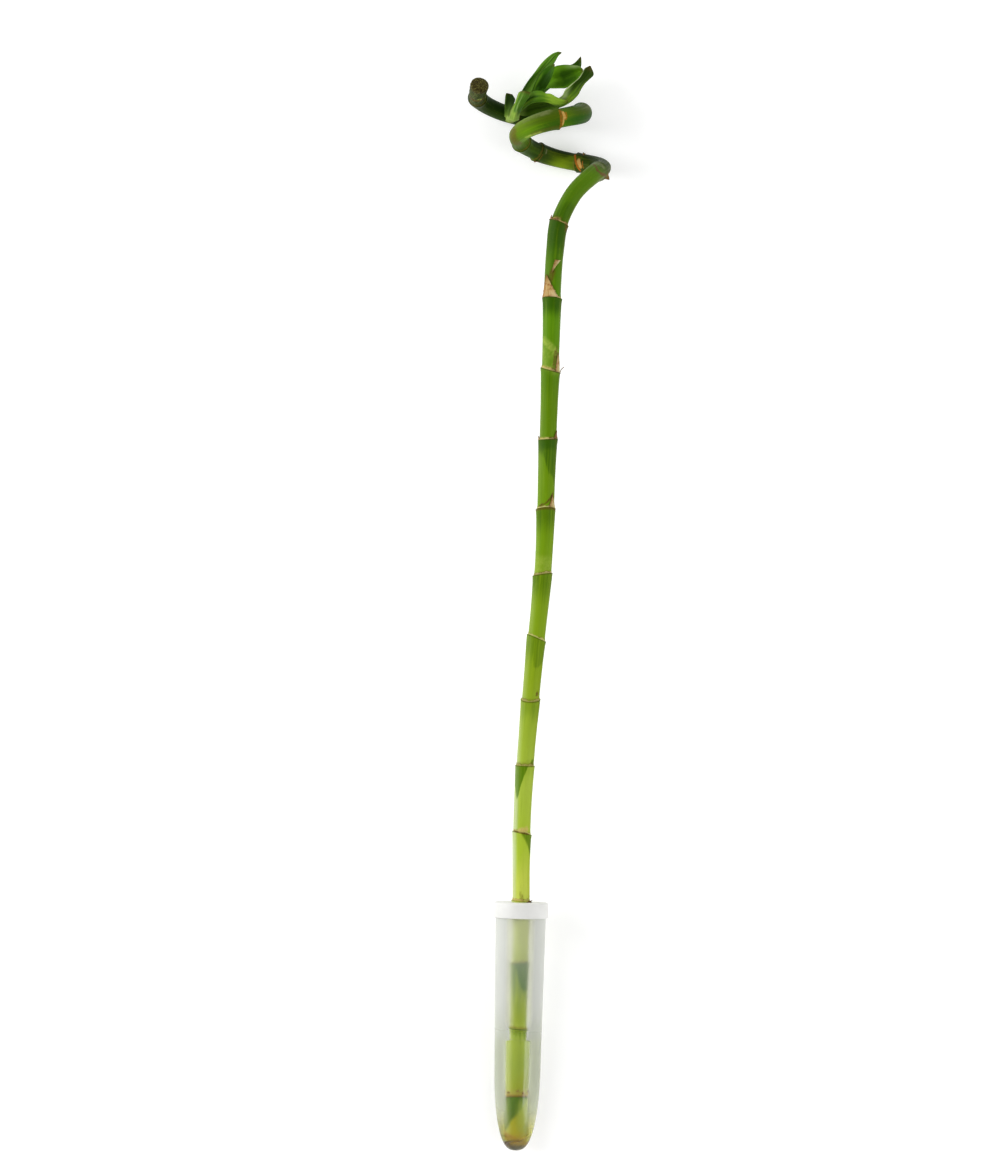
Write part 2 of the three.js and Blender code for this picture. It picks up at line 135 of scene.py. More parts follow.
def rolled(radius, turns, places):
    """Where a stem's skin would be on a straight round stem, for what is drawn on it."""
    return np.stack([radius * np.cos(turns), radius * np.sin(turns), places], -1)


def between(pairs, places):
    return np.interp(places, [pair[0] for pair in pairs], [pair[1] for pair in pairs])


# Curves


PATH_STEPS = 60
LOOK_ALONG = 0.6


class Path:
    """A centripetal Catmull-Rom curve through points, read by length along it."""

    def __init__(self, points):
        given = np.asarray(points, float)
        given = np.vstack([2 * given[0] - given[1], given, 2 * given[-1] - given[-2]])
        pieces = []
        share = np.linspace(0, 1, PATH_STEPS, endpoint=False)[:, None]
        for i in range(len(given) - 3):
            a, b, c, d = given[i:i + 4]
            k0, k1, k2 = (max(np.linalg.norm(q - p) ** 0.5, 1e-6) for p, q in ((a, b), (b, c), (c, d)))
            m0 = ((b - a) / k0 - (c - a) / (k0 + k1) + (c - b) / k1) * k1
            m1 = ((c - b) / k1 - (d - b) / (k1 + k2) + (d - c) / k2) * k1
            cube = 2 * b - 2 * c + m0 + m1
            square = -3 * b + 3 * c - 2 * m0 - m1
            pieces.append(b + m0 * share + square * share ** 2 + cube * share ** 3)
        self.line = np.vstack([*pieces, given[-2][None]])
        steps = np.linalg.norm(np.diff(self.line, axis=0), axis=1)
        self.walk = np.concatenate([[0], np.cumsum(steps)])
        self.length = self.walk[-1]

    def at(self, places):
        return np.stack([np.interp(places, self.walk, self.line[:, k]) for k in range(3)], -1)

    def frames(self, places):
        """Centre, direction, up and side at each place. Up starts as +Z and turns without twisting."""
        after = self.at(np.minimum(places + LOOK_ALONG, self.length))
        ahead = unit(after - self.at(np.maximum(places - LOOK_ALONG, 0)))
        up = np.zeros_like(ahead)
        turned = FACING_UP
        for i, direction in enumerate(ahead):
            turned = turned - direction * (turned @ direction)
            turned /= np.linalg.norm(turned)
            up[i] = turned
        return self.at(places), ahead, up, np.cross(ahead, up)


def cane_path():
    points = [TUBE_TIP + TUBE_AXIS * height for height in HEIGHTS_IN_TUBE]
    points.extend(np.array(point, float) for point in CANE_RISE)
    for turn, (swing, lead) in enumerate(HALF_TURNS):
        start = np.array(COIL_SIDES[turn], float)
        end = np.array(COIL_SIDES[turn + 1], float)
        for i in range(1 if turn else 0, HALF_TURN_STEPS + 1):
            angle = math.pi * i / HALF_TURN_STEPS
            point = start + (end - start) * i / HALF_TURN_STEPS
            point[0] = (start[0] + end[0]) / 2 + (start[0] - end[0]) / 2 * math.cos(angle)
            point[1] += lead * math.sin(angle) ** 2
            point[2] += swing * math.sin(angle)
            points.append(point)
    points.extend(np.array(point, float) for point in CANE_CUT)
    return Path(points)


# Meshes


def placed(name, data):
    """A new object in the scene."""
    thing = bpy.data.objects.new(name, data)
    bpy.context.scene.collection.objects.link(thing)
    return thing


def mesh_object(name, points, faces, attributes=None, smooth=True):
    mesh = bpy.data.meshes.new(name)
    mesh.from_pydata([tuple(point) for point in points], [], faces)
    for key, values in (attributes or {}).items():
        values = np.asarray(values, np.float32)
        kind, field = ("FLOAT_VECTOR", "vector") if values.ndim == 2 else ("FLOAT", "value")
        mesh.attributes.new(key, kind, "POINT").data.foreach_set(field, values.ravel())
    mesh.polygons.foreach_set("use_smooth", [smooth] * len(mesh.polygons))
    mesh.update()
    return placed(name, mesh)


def grid_faces(rows, columns, closed=True):
    faces = []
    for i in range(rows - 1):
        for j in range(columns if closed else columns - 1):
            a = i * columns + j
            b = i * columns + (j + 1) % columns
            faces.append((a, b, b + columns, a + columns))
    return faces


def round_skin(name, rings, attributes):
    """A closed round body from rings of points, with a point in the middle of each end."""
    rows, columns = rings.shape[:2]
    points = np.vstack([rings.reshape(-1, 3), rings[0].mean(0)[None], rings[-1].mean(0)[None]])
    faces = grid_faces(rows, columns)
    foot, last = rows * columns, (rows - 1) * columns
    for j in range(columns):
        after = (j + 1) % columns
        faces.append((foot, after, j))
        faces.append((foot + 1, last + j, last + after))
    spread = {}
    for key, values in attributes.items():
        flat = values.reshape(rows * columns, *values.shape[2:])
        ends = np.stack([values[0].mean(0), values[-1].mean(0)])
        spread[key] = np.concatenate([flat, ends])
    return mesh_object(name, points, faces, spread)


TURNED_SIDES = 96


def turned_skin(name, profile, closed=True):
    """A body turned round the tube's axis from (radius, height) corners, in order along its section.

    Where the section isn't closed, the body ends on the axis and carries its height over the tip.
    """
    ring = spokes(all_round(TURNED_SIDES), FACING_UP, np.cross(TUBE_AXIS, FACING_UP))
    rings = laid([TUBE_TIP + TUBE_AXIS * height + ring * radius for radius, height in profile])
    if closed:
        sheet = grid_faces(len(profile) + 1, TURNED_SIDES)
        faces = [tuple(index % (len(profile) * TURNED_SIDES) for index in face) for face in sheet]
        return mesh_object(name, rings.reshape(-1, 3), faces)
    heights = np.array([[height] * TURNED_SIDES for _, height in profile], float)
    return round_skin(name, rings, {"height": heights})


# Materials


class Material:
    """A procedural material, with short calls for the nodes that feed its Principled shader."""

    def __init__(self, name, **sockets):
        self.data = bpy.data.materials.new(name)
        self.data.use_nodes = True
        self.tree = self.data.node_tree
        self.shader = self.tree.nodes["Principled BSDF"]
        for socket, value in sockets.items():
            self.shader.inputs[socket.replace("_", " ")].default_value = value

    def feed(self, socket, value):
        """Link another node's output, or set a value. A colour of three numbers is as seen on screen."""
        if isinstance(value, bpy.types.NodeSocket):
            self.tree.links.new(value, socket)
        elif socket.type == "RGBA" and len(value) == 3:
            socket.default_value = paint(*value)
        else:
            socket.default_value = value

    def into(self, socket, value):
        self.feed(self.shader.inputs[socket], value)

    def node(self, kind, inputs=(), **settings):
        node = self.tree.nodes.new(kind)
        for key, value in settings.items():
            setattr(node, key, value)
        for key, value in dict(inputs).items():
            self.feed(node.inputs[key], value)
        return node

    def math(self, operation, *values):
        return self.node("ShaderNodeMath", enumerate(values), operation=operation).outputs[0]

    def times(self, product, *factors):
        for factor in factors:
            product = self.math("MULTIPLY", product, factor)
        return product

    def scaled(self, value, factor, offset):
        return self.math("MULTIPLY_ADD", value, factor, offset)

    def less(self, share, size):
        """One, less a size times a share."""
        return self.scaled(share, -size, 1)

    def swayed(self, value, noise, size):
        """The value, moved up and down by a noise that swings round a half."""
        return self.scaled(self.math("SUBTRACT", noise, 0.5), size, value)

    def drawn_out(self, places, *shares):
        """Places multiplied by shares, so that what is drawn there is longer where a share is small."""
        return self.node("ShaderNodeVectorMath", {0: places, 1: shares}, operation="MULTIPLY").outputs[0]

    def value(self, key):
        return self.node("ShaderNodeAttribute", attribute_name=key).outputs["Fac"]

    def place(self, key):
        return self.node("ShaderNodeAttribute", attribute_name=key).outputs["Vector"]

    def position(self):
        return self.node("ShaderNodeTexCoord").outputs["Object"]

    def noise(self, vector, scale, detail=2.0, roughness=0.5):
        inputs = {"Vector": vector, "Scale": scale, "Detail": detail, "Roughness": roughness}
        return self.node("ShaderNodeTexNoise", inputs).outputs["Fac"]

    def cloud(self, scale, detail, roughness=0.5):
        return self.noise(self.position(), scale, detail, roughness)

    def spots(self, vector, scale):
        return self.node("ShaderNodeTexVoronoi", {"Vector": vector, "Scale": scale}).outputs["Distance"]

    def span(self, value, low, high, out_low=0.0, out_high=1.0):
        inputs = enumerate((value, low, high, out_low, out_high))
        return self.node("ShaderNodeMapRange", inputs, interpolation_type="SMOOTHSTEP").outputs[0]

    def mix(self, share, first, second):
        node = self.node("ShaderNodeMix", data_type="RGBA")
        for index, value in ((0, share), (6, first), (7, second)):
            self.feed(node.inputs[index], value)
        return node.outputs[2]

    def cover(self, share, colour):
        """Lay a colour over what the material has so far."""
        self.colour = self.mix(share, self.colour, colour)

    def ramp(self, value, stops):
        node = self.node("ShaderNodeValToRGB", {"Fac": value})
        elements = node.color_ramp.elements
        while len(elements) < len(stops):
            elements.new(0.5)
        for element, (at, colour) in zip(elements, stops):
            element.position = at
            element.color = paint(*colour) if len(colour) == 3 else colour
        return node.outputs["Color"]

    def bump(self, height, strength, distance):
        inputs = {"Height": height, "Strength": strength, "Distance": distance}
        return self.node("ShaderNodeBump", inputs).outputs["Normal"]


def dress(piece, material, slot, *nodes):
    piece.data.materials.append(material.data)
    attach(piece, "root")
    if nodes:
        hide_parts(*nodes)


# Camera: it looks square on to the straight cane, as the photograph does

CAMERA_ABOVE = 3569
CAMERA_AIM = (-21.8, 10.35)
FRAME_LENGTH = 642.4
SENSOR = 36
SIGHT = 30


def add_camera():
    data = bpy.data.cameras.new("camera")
    data.sensor_width = SENSOR
    data.lens = SENSOR * CAMERA_ABOVE / FRAME_LENGTH
    data.clip_end = SIGHT
    camera = placed("camera", data)
    place = laid((*CAMERA_AIM, CAMERA_ABOVE))
    camera.matrix_world = Matrix.Translation(place) @ Matrix.Rotation(LYING_TILT, 4, "X")
    bpy.context.scene.camera = camera


add_camera()

# Cane

CANE_PATH = cane_path()
CANE_SIDES = 64
COARSE_STEP = 1.1
FINE_STEP = 0.4
LEAST_STEP = 0.09
# More rings this far from each node, from the foot and from the top, and stretches with fine marks
NEAR_NODES = (-2.4, -1.7, -1.2, -0.8, -0.5, -0.25, 0, 0.12, 0.25, 0.45, 0.8, 1.3, 1.9)
NEAR_FOOT = (0.25, 0.6, 1.6, 2.8)
NEAR_TOP = (0, 0.15, 0.35, 0.6, 0.9, 1.3, 1.8, 2.4)
FINE_STRETCHES = ((540, 552), (582, 592), (611, 615), (668, 674), (776, 780))

# How each node's ring departs from square across the cane, in millimetres: how much higher it runs at
# the front, and at the right
RING_SLANTS = {
    0: (0.3, 0.2), 1: (-0.4, -0.3), 2: (0.2, 0.4), 3: (0, -0.5), 4: (0.2, -1.0), 5: (-0.2, 0.1),
    6: (-1.5, 0.4), 7: (0.2, -1.6), 8: (0.3, 1.1), 9: (1.2, 0.3), 10: (0, 0.4), 11: (-0.3, -1.3),
    12: (0.9, -0.2), 13: (0.2, -0.4), 14: (0.4, 0), 15: (0.6, 0), 16: (-0.5, 0.5), 18: (0.5, 0.4),
    21: (0.3, 0.5),
}
RING_REACH = 4.5

# How dark each stretch of the cane is at its top, and how far down that reaches, from the foot up.
# The sixteenth, in the coil, is dark all over as painted shade under the arcs.
TOP_SHADES = (
    (0.3, 9), (0.5, 12), (0.68, 34), (0.2, 10), (0.2, 12), (0.3, 12), (0.45, 20), (0.55, 24), (0.6, 26),
    (0.65, 22), (0.9, 14), (0.35, 30), (0.9, 16), (1.0, 28), (0.3, 14), (0.6, 24), (0.6, 18), (0.5, 12),
    (0.85, 28), (0.5, 24), (0.7, 42), (0.5, 28), (0.4, 8),
)
# Darker green under a node: the node, its middle round the cane and half width in degrees, its depth
# in millimetres, how far its flat top reaches before the sides run in, its softness and strength
DARK_PATCHES = (
    (0, -60, 128, 18, 0.1, 5.0, 0.9), (1, 14, 120, 5, 0.5, 2.5, 0.35), (2, 46, 84, 17, 0.2, 3.0, 1.0),
    (2, -60, 40, 15, 0.1, 2.0, 0.6), (2, 0, 180, 25, 0.9, 5.0, 0.3), (4, 68, 76, 12, 0.0, 4.0, 0.9),
    (5, -44, 64, 17, 0.12, 2.2, 0.95), (5, -92, 50, 11, 0.5, 2.5, 0.95), (6, 12, 60, 5, 0.4, 2.0, 0.35),
    (7, 62, 90, 15, 0.7, 2.2, 0.55), (8, -62, 50, 9, 0.1, 1.5, 0.7), (8, 22, 26, 11, 0.1, 2.0, 0.4),
    (9, -70, 40, 14, 0.2, 2.0, 0.5), (10, 40, 90, 22, 0.3, 3.0, 0.6), (13, 30, 90, 12, 0.4, 3.0, 0.4),
)

# Strokes on the skin by kind: the place and turn where each begins, the place and turn where it ends, its
# half width in millimetres and its strength
STROKES = {
    "tan": (
        (506.0, -45, 506.4, -6, 1.0, 0.4), (424.9, -65, 424.9, 0, 0.9, 0.5),
        (386.6, -60, 386.6, 0, 0.7, 0.4), (170.2, -14, 171.6, 34, 1.3, 0.7),
        (132.0, -88, 132.0, 4, 0.8, 0.5), (586.8, -103, 584.8, -134, 1.35, 1.0),
        (671.2, 92, 671.6, 128, 0.7, 0.9), (671.2, 128, 670.9, 172, 0.4, 0.85),
        (743.5, -100, 745, -60, 0.8, 0.4), (26.6, -90, 26.6, 90, 1.6, 0.4),
    ),
    "brown": (
        (505.4, 52, 502.5, 66, 1.6, 0.6), (507.2, -62, 507.2, 10, 0.5, 0.5),
        (473, -22, 478, -6, 2.0, 0.6), (465, -74, 475, -58, 1.8, 0.5), (424.6, 8, 424.6, 62, 1.1, 0.5),
        (386.4, 12, 386.4, 72, 0.9, 0.5), (348.9, -47, 350.2, 0, 0.6, 0.7),
        (350.2, 0, 352.4, 22, 0.6, 0.8), (352.4, 22, 356, 50, 0.7, 0.8), (426.5, 22, 434, 30, 0.9, 0.6),
        (430, 38, 437, 42, 0.7, 0.5), (347.2, -90, 347.2, 90, 0.7, 0.6),
        (312.0, -90, 312.0, 90, 0.9, 0.45), (242.6, -90, 242.6, 90, 1.2, 0.4),
        (206.8, -90, 206.8, 90, 1.2, 0.45), (169.0, -60, 169.0, 40, 0.6, 0.7),
        (245.5, 44, 246.5, 46, 1.0, 0.8), (207.2, -8, 208.6, 26, 1.3, 0.25),
        (132.5, -2, 136.5, -6, 0.8, 0.4), (132.4, 8, 134.5, 4, 1.0, 0.5),
        (545.5, -42, 541.5, 9, 0.8, 0.75), (541.5, 9, 543, 42, 0.8, 0.85), (543, 42, 551, 75, 0.9, 0.9),
        (645, 104, 641, 178, 3.4, 0.55), (687, 100, 686, 158, 3.0, 0.14), (655, 178, 669, 180, 1.8, 0.4),
        (777.4, -175, 777.4, -50, 0.8, 0.75), (773, -140, 773, -60, 0.9, 0.25),
        (2.4, -120, 1.0, -40, 2.0, 1.0), (24.6, -90, 24.6, 90, 0.9, 0.5),
        (60.8, -90, 60.8, 90, 2.0, 0.25),
    ),
    "orange": (
        (4.6, -90, 1.6, -10, 1.5, 0.5), (591, -66, 588.6, -117, 0.75, 0.9),
        (588.6, -117, 586, -165, 0.75, 0.9), (583.2, -104, 582.2, -142, 0.5, 0.6),
        (613.6, -118, 613.2, -160, 0.45, 0.3), (669.9, 84, 669.9, 188, 0.7, 0.5),
        (672.6, 96, 672.2, 140, 0.5, 0.6), (25.4, -90, 25.4, 90, 1.2, 0.35),
    ),
    "grey": (
        (548, -34, 549, 6, 2.0, 0.5), (645, 66, 664, 62, 3.0, 0.45), (386.6, -86, 387.4, -70, 1.3, 0.5),
        (690, 50, 692, 110, 3.0, 0.2), (611.4, -84, 611.4, -106, 0.6, 0.6),
        (765, -150, 783, -140, 2.4, 0.35),
    ),
    "pale": (
        (317, -60, 317, 30, 5.0, 0.42), (440.2, -50, 433.6, 40, 2.2, 0.65), (431, -50, 428, 20, 6.5, 0.4),
        (650, -178, 659, -174, 0.9, 0.8), (778.4, -104, 778.4, -86, 0.7, 1.0), (9, 50, 19, 60, 4.5, 0.8),
    ),
    # Dark strokes deepen the green; those on the coil and under the shoot are painted shadow cast by the
    # arcs and the leaves
    "dark": (
        (206.9, 50, 208.8, 60, 1.2, 0.9), (584, -44, 624, -46, 2.8, 1.0), (560, -70, 583, -60, 3.0, 0.9),
        (598, -60, 622, -70, 4.2, 0.7), (616, -150, 632, -170, 2.4, 0.5), (550, -90, 572, -110, 3.4, 0.8),
        (506, -14, 513, 24, 5.0, 0.5), (556, -20, 580, -40, 4.0, 0.6), (742, 20, 764, -20, 5.0, 0.8),
    ),
}


def cane_places():
    places = [np.arange(0, CANE_PATH.length, COARSE_STEP)]
    for node in NODES:
        places.append(node + np.array(NEAR_NODES))
    for low, high in FINE_STRETCHES:
        places.append(np.arange(low, high, FINE_STEP))
    places.append(np.array(NEAR_FOOT))
    places.append(CANE_PATH.length - np.array(NEAR_TOP))
    places = np.unique(np.round(np.concatenate(places), 3))
    keep = np.concatenate([[True], np.diff(places) > LEAST_STEP])
    keep[-1] = True
    return places[keep]


def ring_shift(places, turns):
    """How far the cane's rings stand from square, for a place and a turn round it."""
    shift = np.zeros(np.broadcast(places, turns).shape)
    for node, (front, right) in RING_SLANTS.items():
        near = np.exp(-((places - NODES[node]) / RING_REACH) ** 2)
        shift = shift + near * (front * (np.cos(turns) - 0.4) + right * np.sin(turns))
    return shift


# In shares of the cane's radius: how wide it is over a ring, how much it gains up to the next one and how
# late, then the swelling and the rim under a ring and the slight foot on it
STRETCH_START = 0.925
STRETCH_GAIN = 0.125
STRETCH_POWER = 2.4
RING_SWELLING = 0.022
RING_RIM = 0.012
RING_FOOT = 0.055


def internode_profile(above, below):
    """The cane's share of its radius, from how far the rings lie below and above the place."""
    share = above / (above + below)
    body = STRETCH_START + STRETCH_GAIN * share ** STRETCH_POWER
    body = body + RING_SWELLING * smoothstep(below, 3.2, 0.2)
    return body + RING_FOOT * smoothstep(above, 2.2, 0.15) + RING_RIM * smoothstep(below, 0.7, 0.1)


# Flutes round the cane, as how many and how deep in millimetres, then the turns in radians that set them
# off from one internode to the next and that they take per millimetre
FLUTES = ((2, 0.09), (3, 0.07), (5, 0.05), (9, 0.022), (17, 0.012))
FLUTE_JUMP = 2.4
FLUTE_TWIST = 0.013


def cane_flutes(places, turns):
    """Faint lengthwise flutes that change from one internode to the next."""
    which = np.searchsorted(NODES, places)
    flutes = np.zeros(np.broadcast(places, turns).shape)
    for count, size in FLUTES:
        turned = count * turns + which * FLUTE_JUMP * count + places * FLUTE_TWIST * count
        flutes = flutes + size * np.cos(turned)
    return flutes


# The cane's share of its radius, from each end inwards
FOOT_ROUNDING = ((0, 0.3), (0.25, 0.56), (0.6, 0.7), (1.6, 0.85), (2.8, 0.94), (5, 1))
TOP_ROUNDING = ((0, 0.8), (0.15, 0.87), (0.35, 0.91), (0.6, 0.94), (1.3, 0.98), (2.4, 1))


def cane_radius(places, above, below, turns):
    radius = between(CANE_RADII, places) * internode_profile(above, below)
    ends = np.minimum(between(FOOT_ROUNDING, places), between(TOP_ROUNDING, CANE_PATH.length - places))
    fade = smoothstep(above, 0, 3) * smoothstep(below, 0, 3)
    return radius * ends + cane_flutes(places, turns) * fade


def cane_surface(places, turns, lift=0.0):
    """Points on the cane's skin at places along it and turns round it, in the plant's frame."""
    places, turns = np.broadcast_arrays(np.asarray(places, float), np.asarray(turns, float))
    edges = np.concatenate([[0], NODES, [CANE_PATH.length]])
    index = np.clip(np.searchsorted(edges, places, side="left") - 1, 0, len(edges) - 2)
    above = places - edges[index]
    below = edges[index + 1] - places
    radius = cane_radius(places, above, np.maximum(below, 1e-4), turns) + lift
    moved = np.clip(places + ring_shift(places, turns), 0, CANE_PATH.length)
    samples = np.arange(0, CANE_PATH.length + 1, 1.0)
    _, _, up, side = CANE_PATH.frames(np.minimum(samples, CANE_PATH.length))

    def read(values):
        return np.stack([np.interp(moved, samples, values[:, k]) for k in range(3)], -1)

    spoke = unit(spokes(turns, read(up), read(side)))
    return CANE_PATH.at(moved) + spoke * radius[..., None], above, below


def dark_shades(below, places, turns):
    """How dark the skin's green is: the top of each stretch, and the patches under the nodes."""
    which = np.searchsorted(NODES, places)
    strength, reach = (np.array(TOP_SHADES)[which, k] for k in (0, 1))
    dark = strength * smoothstep(1 - below / reach, 0.05, 0.85)
    for node, middle, half, depth, flat, soft, strength in DARK_PATCHES:
        off = np.abs((np.degrees(turns) - middle + 180) % 360 - 180) / half
        reach = depth * np.clip((1 - off) / (1 - flat), 0, 1) * (1 + 0.12 * np.sin(3 * turns + node))
        inside = smoothstep(reach - below, -soft / 2, soft / 2) * (reach > 0.05)
        dark = np.maximum(dark, strength * inside * (which == node))
    return dark


def stroke_field(kind, places, turns):
    """How far each point of the skin lies inside the strokes of one kind."""
    field = np.zeros(turns.shape)
    radius = between(CANE_RADII, places)
    for start, start_turn, end, end_turn, half, strength in STROKES[kind]:
        start_turn, end_turn = math.radians(start_turn), math.radians(end_turn)
        middle = (start_turn + end_turn) / 2
        turned = (turns - middle + math.pi) % (2 * math.pi) - math.pi
        along, round_it = places - start, (turned - (start_turn - middle)) * radius
        run, swing = end - start, (end_turn - start_turn) * radius
        share = np.clip((along * run + round_it * swing) / (run ** 2 + swing ** 2), 0, 1)
        off = np.hypot(along - share * run, round_it - share * swing)
        field = np.maximum(field, strength * smoothstep(1.5 - off / half, 0, 1))
    return field


# Small lumps on the skin near the sealed end: how far from it they begin and are full, and how high
LUMPS_BEGIN = 16
LUMPS_FULL = 8
LUMP_RISE = 0.07


def rough_skin(places, turns):
    near_end = smoothstep(places, CANE_PATH.length - LUMPS_BEGIN, CANE_PATH.length - LUMPS_FULL)
    lumps = np.sin(7 * turns + places * 0.9) * np.sin(places * 1.7 + 3 * turns)
    return LUMP_RISE * (lumps + np.sin(11 * turns - places * 2.1)) * near_end


# The rings of the sealed end, as shares of the cane's radius, how high it rises and how rough it is
END_SHARES = (0.93, 0.8, 0.64, 0.46, 0.28, 0.12)
END_RISE = 0.55
END_LUMPS = 0.22
# The length that the material's places are counted in, and the radius that its grain is drawn at
PLACE_UNIT = 800
GRAIN_RADIUS = 5


def make_cane():
    places = cane_places()
    turns = all_round(CANE_SIDES)
    grid_places, grid_turns = np.meshgrid(places, turns, indexing="ij")
    points, above, below = cane_surface(grid_places, grid_turns, rough_skin(grid_places, grid_turns))

    # The sealed end is a low rough dome, in rings that close on its middle
    last, middle = points[-1], points[-1].mean(0)
    ahead = CANE_PATH.frames(np.array((CANE_PATH.length - 1, CANE_PATH.length)))[1][-1]
    share = np.array(END_SHARES)[:, None]
    lumps = END_LUMPS * np.sin(5 * turns + share * 9) * np.sin(share * 14 + 2 * turns)
    rise = END_RISE * np.sqrt(1 - share ** 2) + lumps * smoothstep(1 - share, 0, 0.3)
    end = middle + (last - middle)[None] * share[..., None] + ahead * rise[..., None]
    points = np.concatenate([points, end])

    def spread(values, at_end=None):
        """Values of the skin, carried on over the rings of the end."""
        rows = np.repeat(values[-1:], len(END_SHARES), axis=0)
        return np.concatenate([values, rows if at_end is None else np.full_like(rows, at_end)])

    reach = GRAIN_RADIUS * np.concatenate([np.ones(len(places)), END_SHARES])[:, None]
    long_places = spread(grid_places)
    shades = dark_shades(below, grid_places, grid_turns)
    attributes = {
        "place": long_places / PLACE_UNIT,
        "above": spread(above),
        "below": spread(below),
        "side": spread(np.sin(grid_turns)),
        # The skin's own dark green, together with the painted shadow of the dark strokes
        "dark": spread(np.maximum(shades, stroke_field("dark", grid_places, grid_turns))),
        "cut": spread(smoothstep(CANE_PATH.length - grid_places, 4.0, 0.5), 1),
        "grain": rolled(reach, turns, long_places),
    }
    for kind in ("tan", "brown", "orange", "grey", "pale"):
        attributes[kind] = spread(stroke_field(kind, grid_places, grid_turns))
    return round_skin("cane_skin", laid(points), attributes)


def cane_material():
    m = Material("cane_skin", Roughness=0.48, IOR=1.45, Specular_IOR_Level=0.05)
    place, above, below, side = (m.value(key) for key in ("place", "above", "below", "side"))
    grain = m.place("grain")
    lengthwise = m.drawn_out(grain, 1, 1, 0.035)
    streaks = m.noise(lengthwise, 0.9, 4, 0.6)
    broad = m.noise(m.drawn_out(grain, 1, 1, 0.2), 0.16, 2)
    mottle = m.noise(grain, 0.55, 3, 0.6)
    wander = m.swayed(place, broad, 0.03)
    # From about 0.69 to 0.78 of the place, in the coil, the dark stops of both ramps are painted shade
    # under the arcs
    body = m.ramp(wander, (
        (0.0, (188, 178, 2)), (0.025, (160, 164, 20)), (0.05, (160, 178, 62)), (0.07, (174, 192, 72)),
        (0.1, (168, 188, 48)), (0.15, (192, 204, 84)), (0.172, (190, 203, 76)), (0.2, (164, 188, 50)),
        (0.24, (162, 184, 62)), (0.32, (132, 158, 26)), (0.41, (110, 146, 16)), (0.5, (90, 126, 6)),
        (0.56, (88, 135, 10)), (0.62, (70, 108, 6)), (0.675, (80, 118, 10)), (0.695, (56, 68, 4)),
        (0.728, (44, 66, 2)), (0.75, (112, 136, 10)), (0.77, (50, 80, 6)), (0.793, (66, 92, 8)),
        (0.82, (106, 150, 14)), (0.85, (42, 86, 4)), (0.88, (30, 62, 4)), (0.95, (34, 60, 2)),
        (1.0, (42, 48, 18)),
    ))
    deep = m.ramp(wander, (
        (0.0, (86, 108, 6)), (0.03, (80, 116, 4)), (0.1, (64, 114, 4)), (0.19, (100, 130, 12)),
        (0.25, (86, 122, 6)), (0.35, (78, 110, 2)), (0.43, (68, 102, 2)), (0.47, (52, 88, 4)),
        (0.57, (50, 90, 2)), (0.63, (48, 82, 4)), (0.72, (26, 42, 4)), (0.78, (28, 50, 4)),
        (0.82, (58, 94, 6)), (0.86, (36, 68, 4)), (0.93, (22, 50, 2)), (1.0, (30, 36, 14)),
    ))
    # The deep green comes in where the skin is dark green and where shadow is painted on it
    frayed = m.swayed(m.value("dark"), streaks, 0.8)
    m.colour = m.mix(m.span(frayed, 0.08, 0.95), body, deep)
    m.cover(m.span(streaks, 0.5, 0.78, 0, 0.22), deep)
    m.cover(m.span(streaks, 0.48, 0.25, 0, 0.1), (170, 186, 50))
    m.cover(m.span(mottle, 0.55, 0.8, 0, 0.12), (140, 138, 30))
    coil = m.span(place, 0.66, 0.72)
    # A pale grey-green sheen painted down the left side, where the key light falls, less on the coil and on
    # dark skin
    painted_sheen_colour = m.ramp(place, (
        (0.0, (200, 204, 116)), (0.2, (196, 204, 176)), (0.3, (174, 188, 122)), (0.45, (130, 150, 76)),
        (0.6, (98, 120, 52)), (1.0, (90, 98, 48)),
    ))
    painted_sheen = m.times(m.span(side, -0.4, -0.95), m.span(broad, 0.3, 0.7, 0.35, 0.8), m.less(coil, 0.75),
                    m.less(m.value("dark"), 0.7), m.span(place, 0.1, 0.45, 1.1, 0.55))
    m.cover(painted_sheen, painted_sheen_colour)
    # A darker olive painted down the right side, as shade away from the key light
    m.cover(m.times(m.span(side, 0.6, 0.98), 0.28), (92, 88, 12))

    worn = m.span(m.noise(m.drawn_out(grain, 1, 1, 0.7), 1.7, 4, 0.65), 0.32, 0.68, 0.7, 1.3)
    faded = m.span(mottle, 0.3, 0.7, 0.7, 1.25)

    def mark(kind, strength, wear, colour):
        m.cover(m.span(m.times(m.value(kind), wear), 0.05, 0.95, 0, strength), colour)

    mark("pale", 0.7, faded, (166, 184, 76))
    mark("grey", 0.7, faded, (134, 136, 96))

    # The scar of the leaf base over each ring, of uneven width, with a brown upper edge
    uneven = m.scaled(m.noise(m.drawn_out(grain, 1, 1, 0.1), 0.5, 3), -2.2, above)
    scar_colour = m.ramp(place, (
        (0.0, (176, 164, 60)), (0.12, (158, 150, 74)), (0.2, (180, 172, 96)), (0.3, (178, 172, 100)),
        (0.45, (200, 190, 124)), (0.6, (190, 168, 108)), (0.68, (140, 116, 60)), (0.73, (116, 96, 36)),
        (0.87, (116, 92, 36)), (0.95, (92, 84, 34)), (1.0, (78, 66, 28)),
    ))
    m.cover(m.times(m.span(uneven, 0.05, -0.35, 0, 0.85), m.less(coil, 0.5)), scar_colour)
    scar_edge = m.times(m.span(m.math("ABSOLUTE", uneven), 0.32, 0.1), m.span(mottle, 0.42, 0.6))
    m.cover(m.times(scar_edge, 0.7), (104, 76, 26))
    # A dark line painted just under each ring, as the shadow of its ledge
    painted_ledge_shadow = m.times(m.span(below, 0.75, 0.1), m.span(mottle, 0.3, 0.55, 0.45, 0.9), m.less(coil, 0.35))
    m.cover(painted_ledge_shadow, m.mix(0.5, deep, (60, 46, 12)))

